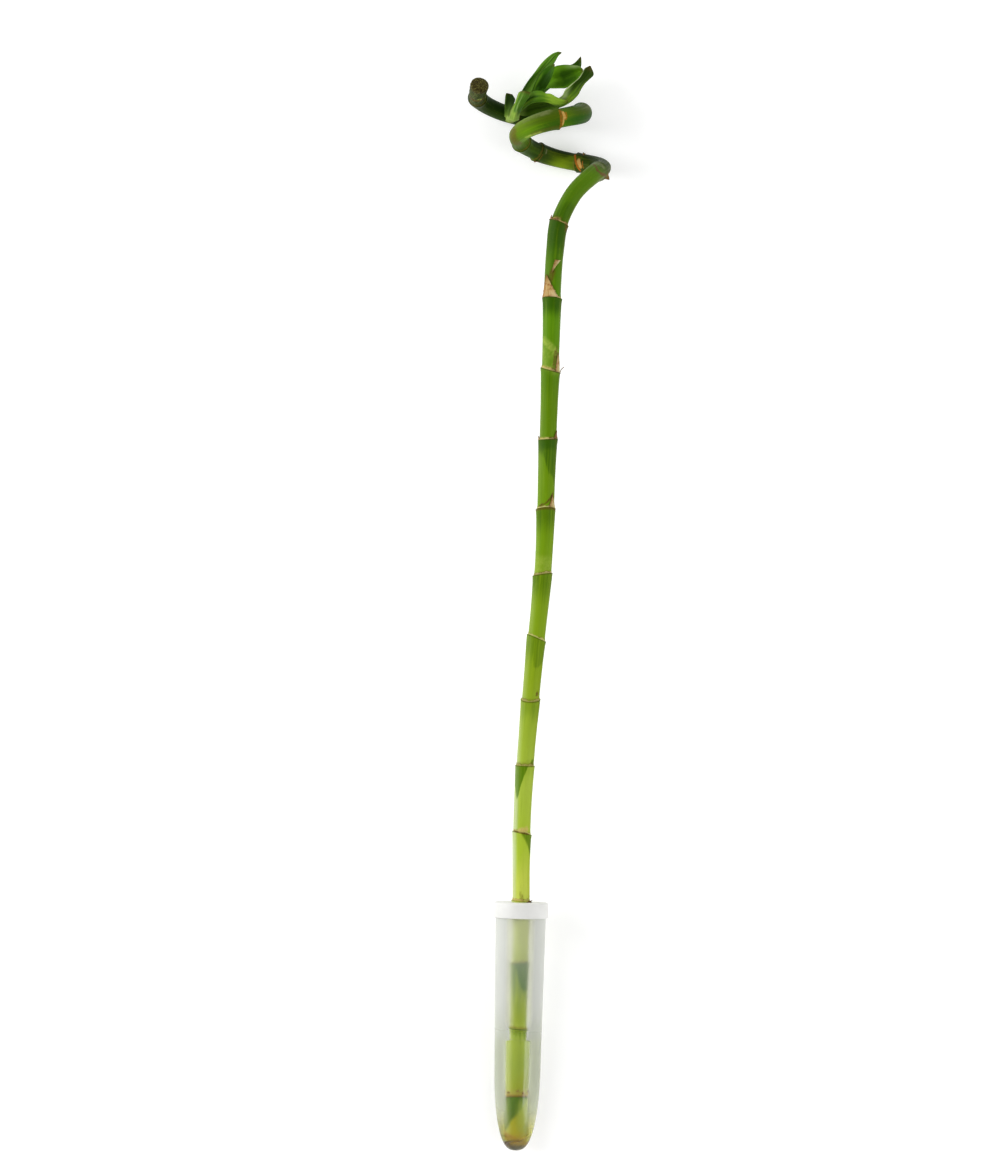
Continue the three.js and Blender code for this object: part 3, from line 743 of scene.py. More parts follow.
    mark("brown", 0.95, worn, (92, 66, 22))
    mark("orange", 0.9, worn, (178, 98, 28))
    yellowish = m.mix(streaks, (176, 146, 66), (212, 196, 120))
    peach = m.mix(streaks, (182, 128, 54), (212, 174, 100))
    mark("tan", 1, worn, m.mix(coil, yellowish, peach))
    fleck = m.span(m.spots(m.drawn_out(grain, 1, 1, 0.5), 0.45), 0.13, 0.05)
    fleck = m.times(fleck, m.span(m.noise(grain, 0.06, 1), 0.55, 0.7, 0, 0.5))
    m.cover(fleck, (104, 84, 30))
    m.cover(m.span(place, 0.005, 0.001), (204, 176, 30))
    rot = m.noise(grain, 1.3, 5, 0.65)
    cut = m.ramp(rot, ((0.38, (30, 22, 6)), (0.5, (60, 53, 20)), (0.64, (106, 104, 52))))
    stub = m.span(place, 0.955, 0.975)
    m.cover(m.times(stub, m.span(rot, 0.5, 0.64, 0, 0.55)), (96, 108, 42))
    m.cover(m.times(stub, m.span(rot, 0.5, 0.38, 0, 0.7)), (34, 36, 12))
    rotten = m.swayed(m.value("cut"), rot, 1.2)
    m.cover(m.span(rotten, 0.1, 0.7), cut)
    m.into("Base Color", m.colour)
    m.into("Roughness", m.span(streaks, 0.3, 0.7, 0.36, 0.52))
    height = m.math("ADD", m.noise(lengthwise, 2.6, 3, 0.6), m.times(rot, m.value("cut")))
    m.into("Normal", m.bump(height, 0.22, 0.0004))
    return m


dress(make_cane(), cane_material(), "cane", "cane")

# Sheath remains: dry papery scales on the cane. Each has the place and turn of its foot, its spread in
# degrees, height (negative when it hangs), the turn at its tip, how far the tip stands off (negative when
# the foot does), its blunt share and its colour

SHEATH_REMAINS = {
    "scale_main": (NODES[12] + 0.15, -27, 126, 11.9, -44, 0.22, 0.1, "straw"),
    "scale_flake": (NODES[12] + 20.9, 20, 32, -6.8, -10, -0.8, 0.3, "husk"),
    "scale_side": (NODES[11] + 0.15, 58, 54, 9.6, 48, 0.3, 0.3, "husk"),
    "fibre_high": (NODES[11] - 0.4, 84, 9, 3.2, 98, 2.6, 0.3, "husk"),
    "scale_edge": (NODES[10] + 0.15, 56, 36, 4.6, 62, 0.3, 0.3, "bark"),
    "scale_low": (NODES[9] + 0.15, 50, 58, 7.6, 44, 0.3, 0.1, "husk"),
    "scale_bend": (NODES[13] + 0.15, -30, 40, 1.3, -16, 0.35, 0.7, "bark"),
    "ear_bend": (NODES[13] - 0.2, -78, 60, 2.4, -80, 0.5, 0.6, "bark"),
    "ear_high": (NODES[10] - 0.2, -80, 50, 2.2, -84, 0.4, 0.6, "husk"),
    "collar_torn": (NODES[3] - 0.5, 62, 66, 1.6, 76, 1.7, 0.6, "bark"),
    "spur_bend": (NODES[14] + 0.5, 82, 56, 3.6, 94, 2.3, 0.2, "bark"),
    "jag_near": (NODES[15] - 5.0, -48, 30, 1.2, -44, 0.7, 0.5, "bark"),
    "bump_coil": (NODES[16] - 1.5, 178, 30, 2.2, 180, 0.6, 0.6, "bark"),
}
# How far a scale's inner side stands off the cane, how much more it does at its edges, and how thick it is
SCALE_OFF = 0.12
SCALE_CURL = 0.2
SCALE_THICK = 0.16
SCALE_ROWS = 22
SCALE_COLUMNS = 18


def make_scale(name, foot, turn, spread, height, tip_turn, lift, blunt):
    rows, columns = SCALE_ROWS, SCALE_COLUMNS
    up = np.linspace(0, 1, rows)
    across = np.linspace(-1, 1, columns)
    ragged = 0.06 * np.sin(up * 31 + foot) + 0.04 * np.sin(up * 57 + 2 * foot)
    half = (1 - up) * (1 - blunt + ragged) + blunt * np.sqrt(1 - up)
    middle = np.radians(turn + (tip_turn - turn) * up)
    turns = middle[:, None] + math.radians(spread / 2) * half[:, None] * across[None]
    tall = height * (1 + 0.05 * np.sin(across * 9 + foot))
    places = foot + up[:, None] * tall[None]
    free = up if lift > 0 else 1 - up
    raised = SCALE_OFF + abs(lift) * free[:, None] ** 2 + SCALE_CURL * np.abs(across[None]) ** 6
    skins = [cane_surface(places, turns, raised + thick)[0] for thick in (0, SCALE_THICK)]
    count = rows * columns
    sheet = grid_faces(rows, columns, closed=False)
    faces = [tuple(reversed(face)) for face in sheet]
    faces += [tuple(index + count for index in face) for face in sheet]
    border = list(range(columns)) + [i * columns + columns - 1 for i in range(1, rows)]
    border += [(rows - 1) * columns + j for j in range(columns - 2, -1, -1)]
    border += [i * columns for i in range(rows - 2, 0, -1)]
    for a, b in zip(border, border[1:] + border[:1]):
        faces.append((a, b, b + count, a + count))
    if height < 0:
        faces = [tuple(reversed(face)) for face in faces]
    attributes = {
        "up": np.tile(np.repeat(up, columns), 2),
        "across": np.tile(np.tile(across, rows), 2),
    }
    return mesh_object(name, laid(skins).reshape(-1, 3), faces, attributes)


SCALE_COLOURS = {
    "straw": ((142, 100, 44), (184, 150, 90), (212, 190, 140)),
    "husk": ((126, 98, 46), (170, 150, 94), (208, 198, 150)),
    "bark": ((60, 44, 18), (100, 76, 34), (140, 112, 62)),
}


def scale_material(name, low, middle, high):
    m = Material("sheath_" + name, Roughness=0.75, IOR=1.4, Specular_IOR_Level=0.25)
    across, up = m.value("across"), m.value("up")
    inputs = {"X": m.times(across, 7), "Y": m.times(up, 1.2)}
    fibres = m.noise(m.node("ShaderNodeCombineXYZ", inputs).outputs[0], 1.0, 4, 0.6)
    blotch = m.cloud(420, 2)
    m.colour = m.ramp(fibres, ((0.28, low), (0.5, middle), (0.72, high)))
    m.cover(m.span(blotch, 0.52, 0.7, 0, 0.8), (138, 86, 36))
    m.cover(m.span(blotch, 0.42, 0.3, 0, 0.5), (156, 158, 100))
    m.cover(m.span(up, 0.5, 1.0, 0, 0.7), (128, 98, 44))
    m.cover(m.span(across, 0.1, -0.95, 0, 0.6), (142, 98, 46))
    corner = m.times(m.span(up, 0.45, 0.1), m.span(across, 0, 0.6, 0, 0.7))
    m.cover(corner, high)
    edge = m.span(m.math("ABSOLUTE", across), 0.75, 1.0, 0, 0.4)
    m.cover(edge, (112, 80, 34))
    m.into("Base Color", m.colour)
    m.into("Normal", m.bump(fibres, 0.5, 0.0003))
    return m


SCALE_MATERIALS = {name: scale_material(name, *colours) for name, colours in SCALE_COLOURS.items()}
for remain, (*measures, finish) in SHEATH_REMAINS.items():
    dress(make_scale(remain, *measures), SCALE_MATERIALS[finish], "cane")

# Tube, cap and gel

TUBE_ROWS = 60
GEL_ROWS = 50
RIM_ROUNDING = 0.3
# How far the gel reaches into the wall, so that no air is left between them, and its edge on the cane
GEL_OVERLAP = 0.04
GEL_ON_CANE = 5.05
SETTLED_LEVEL = 5.5


def tube_radius(height, inset):
    """The tube's radius at a height over its tip, less what a skin lies inside the tube's own."""
    full = DOME_RADIUS - inset
    if height < DOME_LENGTH:
        share = max(0, (height - inset) / (DOME_LENGTH - inset))
        return full * (1 - (1 - share) ** 2) ** DOME_POWER
    return full + (RIM_RADIUS - DOME_RADIUS) * (height - DOME_LENGTH) / (TUBE_RIM - DOME_LENGTH)


def tube_line(low, high, count, inset):
    """Corners of the tube's section, closer together towards its tip."""
    heights = low + (high - low) * np.linspace(0, 1, count + 1) ** 2.6
    return [(tube_radius(height, inset), height) for height in heights]


def make_tube():
    outside = tube_line(0.002, TUBE_RIM - RIM_ROUNDING, TUBE_ROWS, 0)
    inside = tube_line(TUBE_WALL + 0.002, TUBE_RIM - RIM_ROUNDING, TUBE_ROWS, TUBE_WALL)[::-1]
    rim_out, rim_in = outside[-1][0], inside[0][0]
    rim = [(rim_out - 0.25, TUBE_RIM), (rim_in + 0.25, TUBE_RIM)]
    return turned_skin("tube_wall", [*outside, *rim, *inside], closed=False)


def make_cap():
    top, foot = CAP_END, CAP_END - CAP_HEIGHT
    skirt = RIM_RADIUS + CAP_PLAY
    across, up = CAP_RADIUS - CAP_CORNER, top - CAP_CORNER
    corner = [(across + CAP_CORNER * math.sin(angle), up + CAP_CORNER * math.cos(angle))
              for angle in np.linspace(math.pi / 2, 0, 8)]
    profile = [
        (skirt, foot), (skirt + 0.12, foot - 0.12), (CAP_RADIUS - 0.3, foot - 0.12),
        (CAP_RADIUS - 0.12, foot + 0.06), (CAP_RADIUS - 0.06, foot + 0.4), *corner,
        (CAP_HOLE + 1.2, top), (CAP_HOLE + 0.4, top - 0.05),
        (CAP_HOLE, top - 0.4), (CAP_HOLE, top - CAP_PLATE + 0.15), (CAP_HOLE + 0.15, top - CAP_PLATE),
        (skirt - 0.4, top - CAP_PLATE), (skirt, top - CAP_PLATE - 0.4),
    ]
    return turned_skin("tube_cap", profile)


def make_gel():
    """The gel's top climbs a little at the wall and at the cane."""
    inset = TUBE_WALL - GEL_OVERLAP
    outside = tube_line(inset + 0.002, GEL_LEVEL, GEL_ROWS, inset)
    edge, hold = outside[-1][0], GEL_ON_CANE
    top = [
        (edge - 0.02, 0.7), (edge - 0.35, 0.45), (edge - 1.2, 0.1), (hold + 1.6, 0.1), (hold + 0.5, 0.2),
        (hold, 0.3), (hold - 0.6, 0.2), (0.01, 0.2),
    ]
    surface = [(radius, GEL_LEVEL + climb) for radius, climb in top]
    return turned_skin("gel_fill", [*outside, *surface], closed=False)


def let_lamps_through(m, colour):
    """Light that falls on what stands behind a clear surface passes straight through it."""
    clear = m.node("ShaderNodeBsdfTransparent", {"Color": colour})
    path = m.node("ShaderNodeLightPath")
    lamp = m.math("MAXIMUM", path.outputs["Is Shadow Ray"], path.outputs["Is Diffuse Ray"])
    mixer = m.node("ShaderNodeMixShader", {0: lamp, 1: m.shader.outputs[0], 2: clear.outputs[0]})
    output = m.tree.nodes["Material Output"]
    m.tree.links.new(mixer.outputs[0], output.inputs["Surface"])


def tube_material():
    """Frosted plastic, clear where the gel wets it inside and greyer towards its outline."""
    m = Material("frosted_tube", IOR=1.2, Specular_IOR_Level=0.3)
    cloud = m.cloud(45, 2)
    facing = m.node("ShaderNodeLayerWeight", {"Blend": 0.5}).outputs["Facing"]
    height = m.value("height")
    dry = m.span(height, GEL_LEVEL + 4, GEL_LEVEL + 12)
    # The band just over the fill line is wet but doesn't widen the cane, so the veil starts nearer there
    over = m.span(height, GEL_LEVEL - 0.4, GEL_LEVEL + 0.6)
    veil_start = m.scaled(dry, 0.04, m.scaled(over, -0.055, 0.1))
    veil_end = m.scaled(dry, 0.12, m.scaled(over, -0.09, 0.2))
    veil = m.span(facing, veil_start, veil_end)
    milky = m.times(veil, m.span(height, 8, 36))
    side = m.mix(m.span(height, 52, 84), srgb(180, 184, 168), srgb(196, 198, 192))
    side = m.mix(m.span(height, 26, 8), side, srgb(170, 164, 92))
    wet = m.mix(m.span(facing, 0.05, 0.16), srgb(253, 253, 253), srgb(230, 232, 218))
    veiled = m.mix(m.span(cloud, 0.3, 0.7), srgb(224, 225, 214), srgb(230, 231, 220))
    m.into("Base Color", m.mix(milky, m.mix(dry, wet, veiled), side))
    m.into("Roughness", m.scaled(dry, 0.1, m.span(cloud, 0.3, 0.7, 0.24, 0.28)))
    clear = m.scaled(m.span(height, GEL_LEVEL + 4, TUBE_RIM - 10), -0.15, 1)
    m.into("Transmission Weight", m.scaled(milky, -0.62, clear))
    let_lamps_through(m, srgb(248, 248, 248))
    return m


def cap_material():
    m = Material("white_cap", Roughness=0.42, IOR=1.48, Specular_IOR_Level=0.35)
    cloud = m.cloud(90, 3)
    m.into("Base Color", m.mix(m.span(cloud, 0.3, 0.7), (219, 219, 215), (226, 226, 223)))
    m.into("Roughness", m.span(m.cloud(300, 3), 0.3, 0.7, 0.38, 0.48))
    m.into("Normal", m.bump(m.cloud(1500, 3), 0.06, 0.0002))
    return m


def gel_material():
    m = Material("clear_gel", Roughness=0.04, IOR=1.5, Transmission_Weight=1.0)
    cloud = m.cloud(70, 3)
    clear = m.mix(m.span(cloud, 0.3, 0.7), srgb(236, 242, 208), srgb(240, 245, 216))
    murky = m.span(m.value("height"), 26, 8, 0, 0.95)
    m.into("Base Color", m.mix(murky, clear, srgb(214, 206, 72)))
    let_lamps_through(m, srgb(251, 251, 250))
    return m


def make_sediment():
    """Dark settlings in the round tip of the tube, under the cane's foot."""
    inset = TUBE_WALL + 0.08
    side = [(tube_radius(height, inset), height) for height in np.linspace(inset + 0.02, SETTLED_LEVEL, 16)]
    top = [(3.2, SETTLED_LEVEL - 0.3), (0.01, SETTLED_LEVEL - 0.6)]
    return turned_skin("tip_settlings", [*side, *top], closed=False)


def sediment_material():
    m = Material("tip_settlings", Roughness=0.8, Specular_IOR_Level=0.2)
    grains = m.cloud(900, 4, 0.6)
    m.colour = m.ramp(grains, (
        (0.35, (54, 48, 40)), (0.52, (84, 75, 64)), (0.68, (112, 104, 90)),
    ))
    m.cover(m.span(m.value("height"), 2.4, 4.4), (170, 138, 30))
    across = m.node("ShaderNodeSeparateXYZ", {"Vector": m.position()}).outputs["X"]
    left = m.times(m.span(across, -0.0135, -0.018), m.span(m.value("height"), 1.6, 3.2))
    m.cover(left, (84, 50, 14))
    m.into("Base Color", m.colour)
    m.into("Normal", m.bump(grains, 0.4, 0.0004))
    return m


dress(make_tube(), tube_material(), "tube", "tube")
dress(make_cap(), cap_material(), "cap", "cap")
dress(make_gel(), gel_material(), "gel", "gel")
dress(make_sediment(), sediment_material(), "gel")

# Shoot

SHOOT_SIDES = 28
SHOOT_STEP = 0.35
SHOOT_GRAIN_RADIUS = 3


def make_shoot():
    path = Path(SHOOT_STEM)
    places = np.arange(0, path.length, SHOOT_STEP)
    centre, _, up, side = path.frames(places)
    turns = all_round(SHOOT_SIDES)
    spoke = spokes(turns[None], up[:, None], side[:, None])
    radius = between(SHOOT_RADII, places)
    ringed = 1 + 0.035 * np.clip(np.cos(places * 2.2), 0, 1) ** 6
    rings = centre[:, None] + spoke * (radius * ringed)[:, None, None]
    grid, around = np.meshgrid(places, turns, indexing="ij")
    attributes = {"grain": rolled(SHOOT_GRAIN_RADIUS, around, grid), "place": grid / path.length}
    return round_skin("shoot_stem", laid(rings), attributes)


def shoot_material():
    m = Material("shoot_stem", Roughness=0.45, IOR=1.45, Specular_IOR_Level=0.32)
    streaks = m.noise(m.drawn_out(m.place("grain"), 1, 1, 0.1), 1.4, 3)
    m.colour = m.ramp(m.value("place"), (
        (0.0, (104, 112, 30)), (0.08, (130, 154, 50)), (0.3, (160, 190, 80)), (0.7, (120, 166, 50)),
    ))
    m.cover(m.span(streaks, 0.45, 0.75, 0, 0.5), (92, 140, 30))
    m.into("Base Color", m.colour)
    m.into("Normal", m.bump(streaks, 0.3, 0.0003))
    return m


dress(make_shoot(), shoot_material(), "shoot", "shoot")

# Leaves: the left and the right edge from base to tip, then the fold's depth and the waves' height and
# count

LEAVES = {
    "leaf_long": (
        ((-10.8, 279.7, -42.5), (-9.9, 284, -39), (-6.9, 288.9, -35.5), (-3.2, 293.6, -33),
         (1.2, 299.3, -30.5), (4.2, 302.2, -29.5), (7.1, 304.4, -29.7), (10.2, 305.7, -31),
         (12.2, 305.5, -32)),
        ((-5.9, 280.2, -42), (-2.6, 284.1, -38.5), (0.1, 288.1, -35.5), (2.6, 291.9, -33),
         (5.5, 295.2, -31.2), (7.7, 298.1, -30.4), (9.2, 300.7, -30.4), (10.5, 303.2, -31),
         (12.4, 305, -32)),
        (1.6, 0.15, 2),
    ),
    "leaf_inner": (
        ((-5.2, 278.6, -42), (-5.2, 280.4, -39), (-3.8, 285.2, -35.8), (-1.6, 290.2, -33.2),
         (1, 294.4, -31.8), (4.4, 297.2, -30.4), (8, 298.6, -28.6)),
        ((-1.6, 280.2, -42.2), (1, 281.4, -39), (3.5, 285.6, -35.5), (5.6, 288.7, -32.7),
         (7, 291.6, -30.8), (8.1, 295.1, -29), (8.6, 298.4, -27.8)),
        (0.8, 0, 1),
    ),
    "leaf_broad": (
        ((-5.7, 282.6, -44), (-1.2, 288.6, -42.5), (3.8, 294.6, -40.5), (8.7, 298.1, -39),
         (11.7, 298.8, -38), (15.4, 299, -37.2), (18.8, 298.6, -36.8), (22.1, 298.2, -36.7),
         (24.3, 296.5, -37)),
        ((-4, 279.3, -44), (0.5, 283.6, -42.5), (4.3, 285.9, -40.5), (8, 285.8, -39), (11.7, 285.8, -38),
         (14.7, 285.9, -37.2), (17.4, 287.4, -36.8), (21, 290.5, -36.5), (24.5, 295.1, -37)),
        (2, 0.3, 2),
    ),
    "leaf_back": (
        ((-12.4, 277.6, -48.4), (-5.1, 280.8, -49.9), (1.6, 288.6, -49.7), (9.4, 295.7, -48),
         (15, 298.6, -45.5), (19.2, 300.2, -44), (21.3, 302.1, -43.5), (23, 304, -43)),
        ((-11.4, 274.6, -48.9), (-2.3, 278.5, -50), (5, 285.8, -49.7), (13.3, 291.3, -48),
         (19.4, 294.4, -45.5), (23, 297.4, -44), (23.6, 300.9, -43.5), (23.4, 303.7, -43)),
        (1, 0.2, 2),
    ),
    "leaf_front": (
        ((-11.5, 276.4, -43), (-9, 279.8, -39.5), (-5.6, 282.8, -36.5), (-2.5, 284.1, -34),
         (1.2, 284, -32.5), (3.4, 282.8, -32), (6.4, 282.4, -31.8), (9.1, 280.9, -31.8),
         (12.4, 279.5, -32), (15.8, 279, -32.5)),
        ((-10.5, 272.8, -43.4), (-7.7, 275.3, -39.6), (-4, 277.2, -35.7), (-1, 277.7, -33.5),
         (4.2, 277.6, -32.4), (7.6, 276.4, -32), (10.2, 275.8, -32), (12.1, 276, -32.2),
         (14, 276.6, -32.4), (15.9, 277.8, -32.5)),
        (-0.8, 0.25, 3),
    ),
    "leaf_sheath": (
        ((-16.7, 269.3, -48.4), (-15.4, 272.9, -43), (-13.9, 276.9, -38), (-12.5, 280.6, -35.2),
         (-11.3, 283.4, -33.7), (-9.9, 284.1, -33.3)),
        ((-11.2, 269.2, -48), (-10.6, 272.3, -42), (-9, 275.6, -35), (-7.2, 278.4, -32.4),
         (-5.3, 281.1, -30.8), (-4.9, 283.1, -30.6)),
        (-1.4, 0.1, 1),
    ),
    "leaf_bud": (
        ((-19.2, 270.6, -47.2), (-19.2, 275, -45.8), (-19.1, 279.3, -44.8), (-18.7, 282.6, -44.2),
         (-18.3, 283.8, -44)),
        ((-17.2, 270.9, -47), (-16.1, 274.1, -45.2), (-14.4, 277.3, -44), (-13.3, 280.1, -43.6),
         (-15, 283, -43.6)),
        (0.6, 0, 1),
    ),
    "leaf_side": (
        ((-11, 277.2, -46), (-8.4, 277.5, -46), (-1.2, 278.8, -44.5), (6, 279.4, -42), (10.2, 280.3, -39),
         (12.9, 282, -36.2), (14.1, 284.4, -34), (16.6, 286.8, -32.8), (19.1, 288.8, -32),
         (22, 291.3, -31), (23.8, 294.1, -30.3), (25.1, 296.3, -30), (28.1, 297.9, -30)),
        ((-12, 272, -47.2), (-7.9, 271.1, -47), (-0.6, 272.4, -45.5), (7.1, 274.2, -43),
         (12.7, 275.7, -40.2), (16.5, 277.4, -37), (19.3, 279.4, -34.7), (21.8, 282.1, -33.2),
         (23.4, 285.1, -32.2), (25.4, 288, -31.2), (28.1, 290.5, -30.5), (30.2, 292.9, -30),
         (28.6, 297.5, -30)),
        (1, 0.15, 3),
    ),
}
# The blades lean away from the lights, so they must reflect more than level skin to look as given
LEANING_SHARE = 1.24
BLADE_ROWS = 64
BLADE_COLUMNS = 25
BLADE_THICK = 0.42
BLADE_EDGE = 0.16
CREASE_SOFTNESS = 0.012
VEIN_COUNT = 7
VEIN_RISE = 0.035


def make_leaf(name, left, right, shape):
    fold, wave, waves = shape
    share = np.linspace(0, 1, BLADE_ROWS)
    edges = [Path(edge) for edge in (left, right)]
    first, second = (edge.at(share * edge.length) for edge in edges)
    middle = (first + second) / 2
    along = np.gradient(middle, axis=0)
    normal = unit(np.cross(second - first, along))
    across = np.linspace(0, 1, BLADE_COLUMNS)
    out = np.abs(2 * across - 1)
    width = np.linalg.norm(second - first, axis=1)
    depth = fold * np.minimum(1, width / 4)
    swell = wave * out[None] ** 2 * np.sin(2 * math.pi * waves * share[:, None] + 2 * across[None])
    crease = np.sqrt(out ** 2 + CREASE_SOFTNESS)
    veins = VEIN_RISE * np.cos(across[None] * 2 * math.pi * VEIN_COUNT)
    shift = swell - depth[:, None] * (1 - crease[None]) + veins * np.minimum(1, width[:, None] / 5)
    flat = first[:, None] + (second - first)[:, None] * across[None, :, None]
    base = flat + normal[:, None] * shift[..., None]
    half = (BLADE_EDGE + (BLADE_THICK - BLADE_EDGE) * (1 - out ** 3)) / 2
    half = np.minimum(half[None], 0.45 * width[:, None] + 0.05)
    lower = base - normal[:, None] * half[..., None]
    upper = base + normal[:, None] * half[..., None]
    rings = np.concatenate([lower, upper[:, ::-1]], axis=1)[:, ::-1]
    spread = np.concatenate([across, across[::-1]])[::-1]
    lengths, acrosses = np.meshgrid(share, spread, indexing="ij")
    attributes = {"across": acrosses, "length": lengths}
    return round_skin(name + "_blade", laid(rings), attributes)


# Each leaf's colours: body, dark and pale, then its tone along its length, from -1 for dark to 1 for
# pale, then its stripes as middle across, half width, strength, and the share of its length where it
# runs. A negative strength is dark, up to 1 is pale, and what it has over 1 is a whitish line.
# The tones and stripes are partly the blades' own colour and partly painted light: pale tones and
# whitish lines where a blade arches towards the lamps are painted highlights, and dark tones where it
# turns away and where it lies under another leaf are painted shade.
LEAF_COLOURS = {
    "leaf_long": (
        (62, 108, 12), (30, 68, 2), (108, 150, 50),
        ((0, 0.9), (0.25, 0.5), (0.5, 0.3), (0.85, 0.2)),
        ((0.06, 0.1, 0.9, 0.45, 0.95), (0.14, 0.16, -1, 0, 0.5), (0.8, 0.14, 0.9, 0.1, 0.45),
         (0.92, 0.14, -0.9, 0.5, 0.8), (0.42, 0.06, 0.8, 0.25, 0.9), (0.56, 0.06, -0.7, 0.4, 0.9)),
    ),
    "leaf_inner": (
        (42, 82, 6), (22, 50, 1), (72, 110, 20),
        ((0, 0.4), (0.28, 0.7), (0.42, -0.8), (0.65, -0.6), (0.85, 0.2)),
        ((0.15, 0.14, 1, 0.2, 0.7), (0.6, 0.14, -0.8, 0.3, 0.85)),
    ),
    "leaf_broad": (
        (68, 110, 6), (38, 76, 1), (98, 148, 24),
        ((0, 0.6), (0.45, 0.9), (0.62, -0.8), (0.82, -0.5), (0.97, 0.7)),
        ((0.1, 0.2, 0.8, 0.3, 0.85), (0.95, 0.08, 0.5, 0.2, 0.7), (0.02, 0.22, 1.5, 0.78, 0.94),
         (0.85, 0.2, -0.6, 0.4, 0.6)),
    ),
    "leaf_back": (
        (44, 76, 8), (28, 56, 4), (80, 104, 40),
        ((0, 0.2), (1, 0)),
        ((0.5, 0.2, -0.6, 0, 1),),
    ),
    "leaf_front": (
        (66, 108, 16), (36, 72, 2), (126, 160, 44),
        ((0, 0.3), (0.45, 0.1), (0.58, 0.2), (0.76, 1), (0.92, 0.6)),
        ((0.1, 0.14, 0.45, 0, 0.35), (0.5, 0.16, -1, 0.22, 0.5), (0.9, 0.16, -0.8, 0.35, 0.6),
         (0.95, 0.1, -0.8, 0.75, 1), (0.7, 0.1, 0.7, 0.1, 0.35)),
    ),
    "leaf_sheath": (
        (84, 122, 34), (54, 92, 18), (130, 160, 60),
        ((0, 0.3), (0.28, 0.8), (0.45, -0.1), (0.62, 0.1), (0.78, -0.5), (0.9, -0.3)),
        ((0.82, 0.26, -1, 0.25, 1), (0.3, 0.1, -0.9, 0.4, 1), (0.08, 0.1, 0.8, 0.3, 0.95),
         (0.6, 0.12, 0.6, 0, 0.4), (0.52, 0.06, 1.35, 0.45, 0.85)),
    ),
    "leaf_bud": (
        (58, 88, 22), (26, 50, 10), (98, 128, 44),
        ((0, 1), (0.3, 0.2), (0.6, -0.7), (0.85, -1)),
        ((0.05, 0.08, 0.6, 0.4, 1),),
    ),
    "leaf_side": (
        (66, 98, 8), (26, 50, 0), (100, 130, 28),
        ((0, -0.6), (0.42, -0.4), (0.56, 0.9), (0.68, -0.3), (0.8, -1)),
        ((0.25, 0.25, 1.6, 0.5, 0.62), (0.04, 0.08, 2, 0.5, 0.88), (0.5, 0.1, -0.6, 0, 0.4),
         (0.9, 0.12, 0.5, 0.6, 0.85), (0.35, 0.16, -0.9, 0.64, 1)),
    ),
}


def leaning(red, green, blue):
    return (*(value * LEANING_SHARE for value in paint(red, green, blue)[:3]), 1)


def leaf_material(name, body, dark, pale, tones, stripes):
    m = Material(name + "_green", Roughness=0.42, IOR=1.45, Specular_IOR_Level=0.07)
    across, length = m.value("across"), m.value("length")
    wide, long = m.times(across, 9), m.times(length, 1.1)
    inputs = {"X": wide, "Y": long, "Z": float(len(name))}
    long_way = m.node("ShaderNodeCombineXYZ", inputs).outputs[0]
    streaks = m.noise(long_way, 1.0, 3, 0.55)
    fine = m.noise(m.drawn_out(long_way, 4.5, 0.7, 1), 1.0, 2)
    patches = m.noise(m.drawn_out(long_way, 0.3, 3.2, 1), 1.0, 2)
    body, dark, pale = leaning(*body), leaning(*dark), leaning(*pale)

    # Tones run from -1 for dark over 0 for the body colour to 1 for pale
    stops = [(at, (0.5 + tone / 2,) * 3 + (1,)) for at, tone in tones]
    moved = m.swayed(length, patches, 0.22)
    tone = m.swayed(m.ramp(moved, stops), streaks, -0.5)
    m.colour = m.mix(m.span(tone, 0.5, 0.95), body, pale)
    m.cover(m.span(tone, 0.5, 0.05), dark)
    for middle, half, strength, start, end in stripes:
        off = m.math("ABSOLUTE", m.math("SUBTRACT", across, middle))
        wobble = m.swayed(off, patches, 0.18)
        mask = m.span(wobble, half * 1.3, 0, 0, strength - 1 if strength > 1 else abs(strength))
        if start > 0:
            mask = m.times(mask, m.span(length, start - 0.12, start + 0.08))
        if end < 1:
            mask = m.times(mask, m.span(length, end + 0.1, end - 0.1))
        line = (190, 208, 148) if strength > 1 else (pale if strength > 0 else dark)
        m.cover(mask, line)
    m.cover(m.span(fine, 0.4, 0.7, 0, 0.12), pale)
    m.cover(m.span(length, 0.1, 0.0, 0, 0.6), (160, 186, 90))
    m.cover(m.span(length, 0.9, 1.0, 0, 0.7), (84, 68, 26))
    rim = m.span(m.math("ABSOLUTE", m.math("SUBTRACT", across, 0.5)), 0.475, 0.5, 0, 0.3)
    m.cover(rim, (120, 150, 70))
    m.into("Base Color", m.colour)
    m.into("Roughness", m.span(fine, 0.3, 0.7, 0.36, 0.48))
    m.into("Normal", m.bump(fine, 0.3, 0.0002))
    return m


for leaf_name, leaf in LEAVES.items():
    finish = leaf_material(leaf_name, *LEAF_COLOURS[leaf_name])
    dress(make_leaf(leaf_name, *leaf), finish, "leaf", leaf_name)

# Root nubs round the lowest node

NUB_COUNT = 9
NUB_SIDES = 10
# How high each ring of a nub stands, as a share of the nub's length, and its radius in millimetres
NUB_RINGS = ((-0.3, 0.7), (0.25, 0.62), (0.6, 0.45), (0.85, 0.22), (1, 0.05))


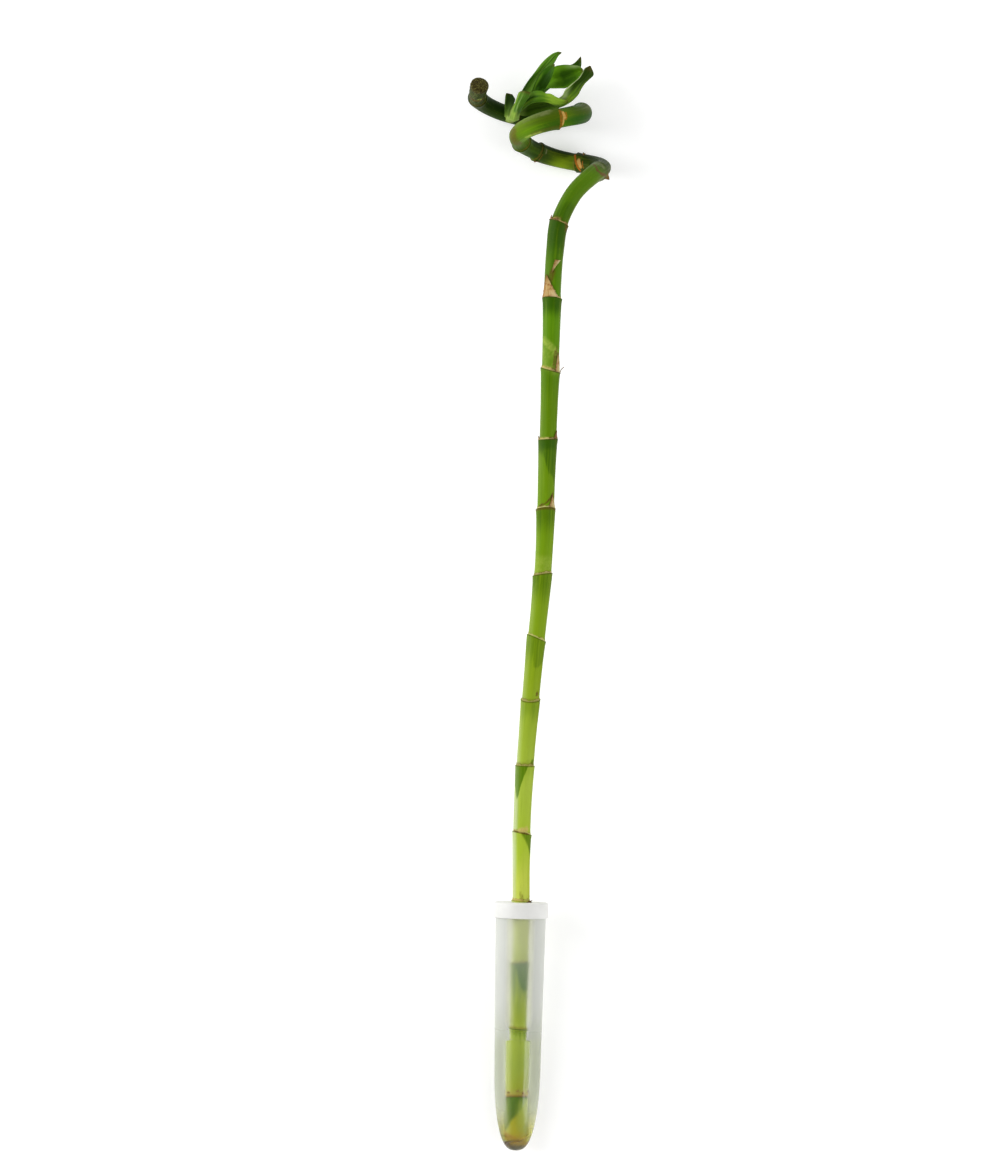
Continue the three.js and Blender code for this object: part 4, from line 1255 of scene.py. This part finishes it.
def make_nubs():
    rng = np.random.default_rng(7)
    ring = all_round(NUB_SIDES)
    points, faces = [], []
    for i in range(NUB_COUNT):
        turn = 2 * math.pi * i / NUB_COUNT + rng.uniform(-0.2, 0.2)
        place = NODES[0] + 1.4 + rng.uniform(0, 1.8)
        length = rng.uniform(0.6, 1.1)
        start = len(points)
        for rise, radius in NUB_RINGS:
            places, turns = place + radius * np.sin(ring), turn + radius / 5 * np.cos(ring)
            points.extend(cane_surface(places, turns, length * rise)[0])
        for face in grid_faces(len(NUB_RINGS), NUB_SIDES):
            faces.append(tuple(start + index for index in reversed(face)))
        faces.append(tuple(range(start, start + NUB_SIDES)))
        faces.append(tuple(reversed(range(len(points) - NUB_SIDES, len(points)))))
    return mesh_object("root_nubs", laid(np.array(points)), faces)


def nub_material():
    m = Material("root_nub", Roughness=0.55, Specular_IOR_Level=0.3)
    m.into("Base Color", m.mix(m.cloud(900, 2), (128, 96, 34), (176, 144, 66)))
    return m


dress(make_nubs(), nub_material(), "cane")

# Floor, world and lights


FLOOR_REACH = 6
FLOOR_GLOW = 0.26


def add_floor():
    corners = [(x * FLOOR_REACH, y * FLOOR_REACH, 0) for x, y in ((-1, -1), (1, -1), (1, 1), (-1, 1))]
    floor = mesh_object("floor", corners, [(0, 1, 2, 3)], smooth=False)
    glow = {"Emission_Color": (1, 1, 1, 1), "Emission_Strength": FLOOR_GLOW}
    m = Material("floor", Roughness=0.9, Specular_IOR_Level=0.1, **glow)
    grain = m.cloud(30, 3)
    m.into("Base Color", m.mix(grain, (0.82, 0.82, 0.82, 1), (0.84, 0.84, 0.84, 1)))
    floor.data.materials.append(m.data)


def add_light(name, place, size, power):
    """A flat lamp that faces the middle of the ground."""
    data = bpy.data.lights.new(name, "AREA")
    data.shape = "RECTANGLE"
    data.size, data.size_y = size
    data.energy = power
    light = placed(name, data)
    turn = Vector(place).to_track_quat("Z", "Y")
    light.matrix_world = Matrix.Translation(place) @ turn.to_matrix().to_4x4()


# The sky is dim overhead, where the camera stands, and bright towards its edge
SKY_OVERHEAD = 0.25
SKY_EDGE = 1.6


def add_world():
    world = bpy.data.worlds.new("studio")
    world.use_nodes = True
    tree = world.node_tree
    background = tree.nodes["Background"]
    background.inputs["Color"].default_value = (1, 1, 1, 1)
    place = tree.nodes.new("ShaderNodeTexCoord")
    split = tree.nodes.new("ShaderNodeSeparateXYZ")
    shade = tree.nodes.new("ShaderNodeMapRange")
    shade.inputs["To Min"].default_value = SKY_EDGE
    shade.inputs["To Max"].default_value = SKY_OVERHEAD
    tree.links.new(place.outputs["Generated"], split.inputs[0])
    tree.links.new(split.outputs["Z"], shade.inputs["Value"])
    tree.links.new(shade.outputs[0], background.inputs["Strength"])
    bpy.context.scene.world = world


add_floor()
add_world()
add_light("key", (-2.0, 0.4, 1.1), (1.4, 1.8), 38)
add_light("fill", (1.8, -0.5, 1.3), (1.4, 1.4), 17)
bpy.context.scene.view_settings.view_transform = "Standard"

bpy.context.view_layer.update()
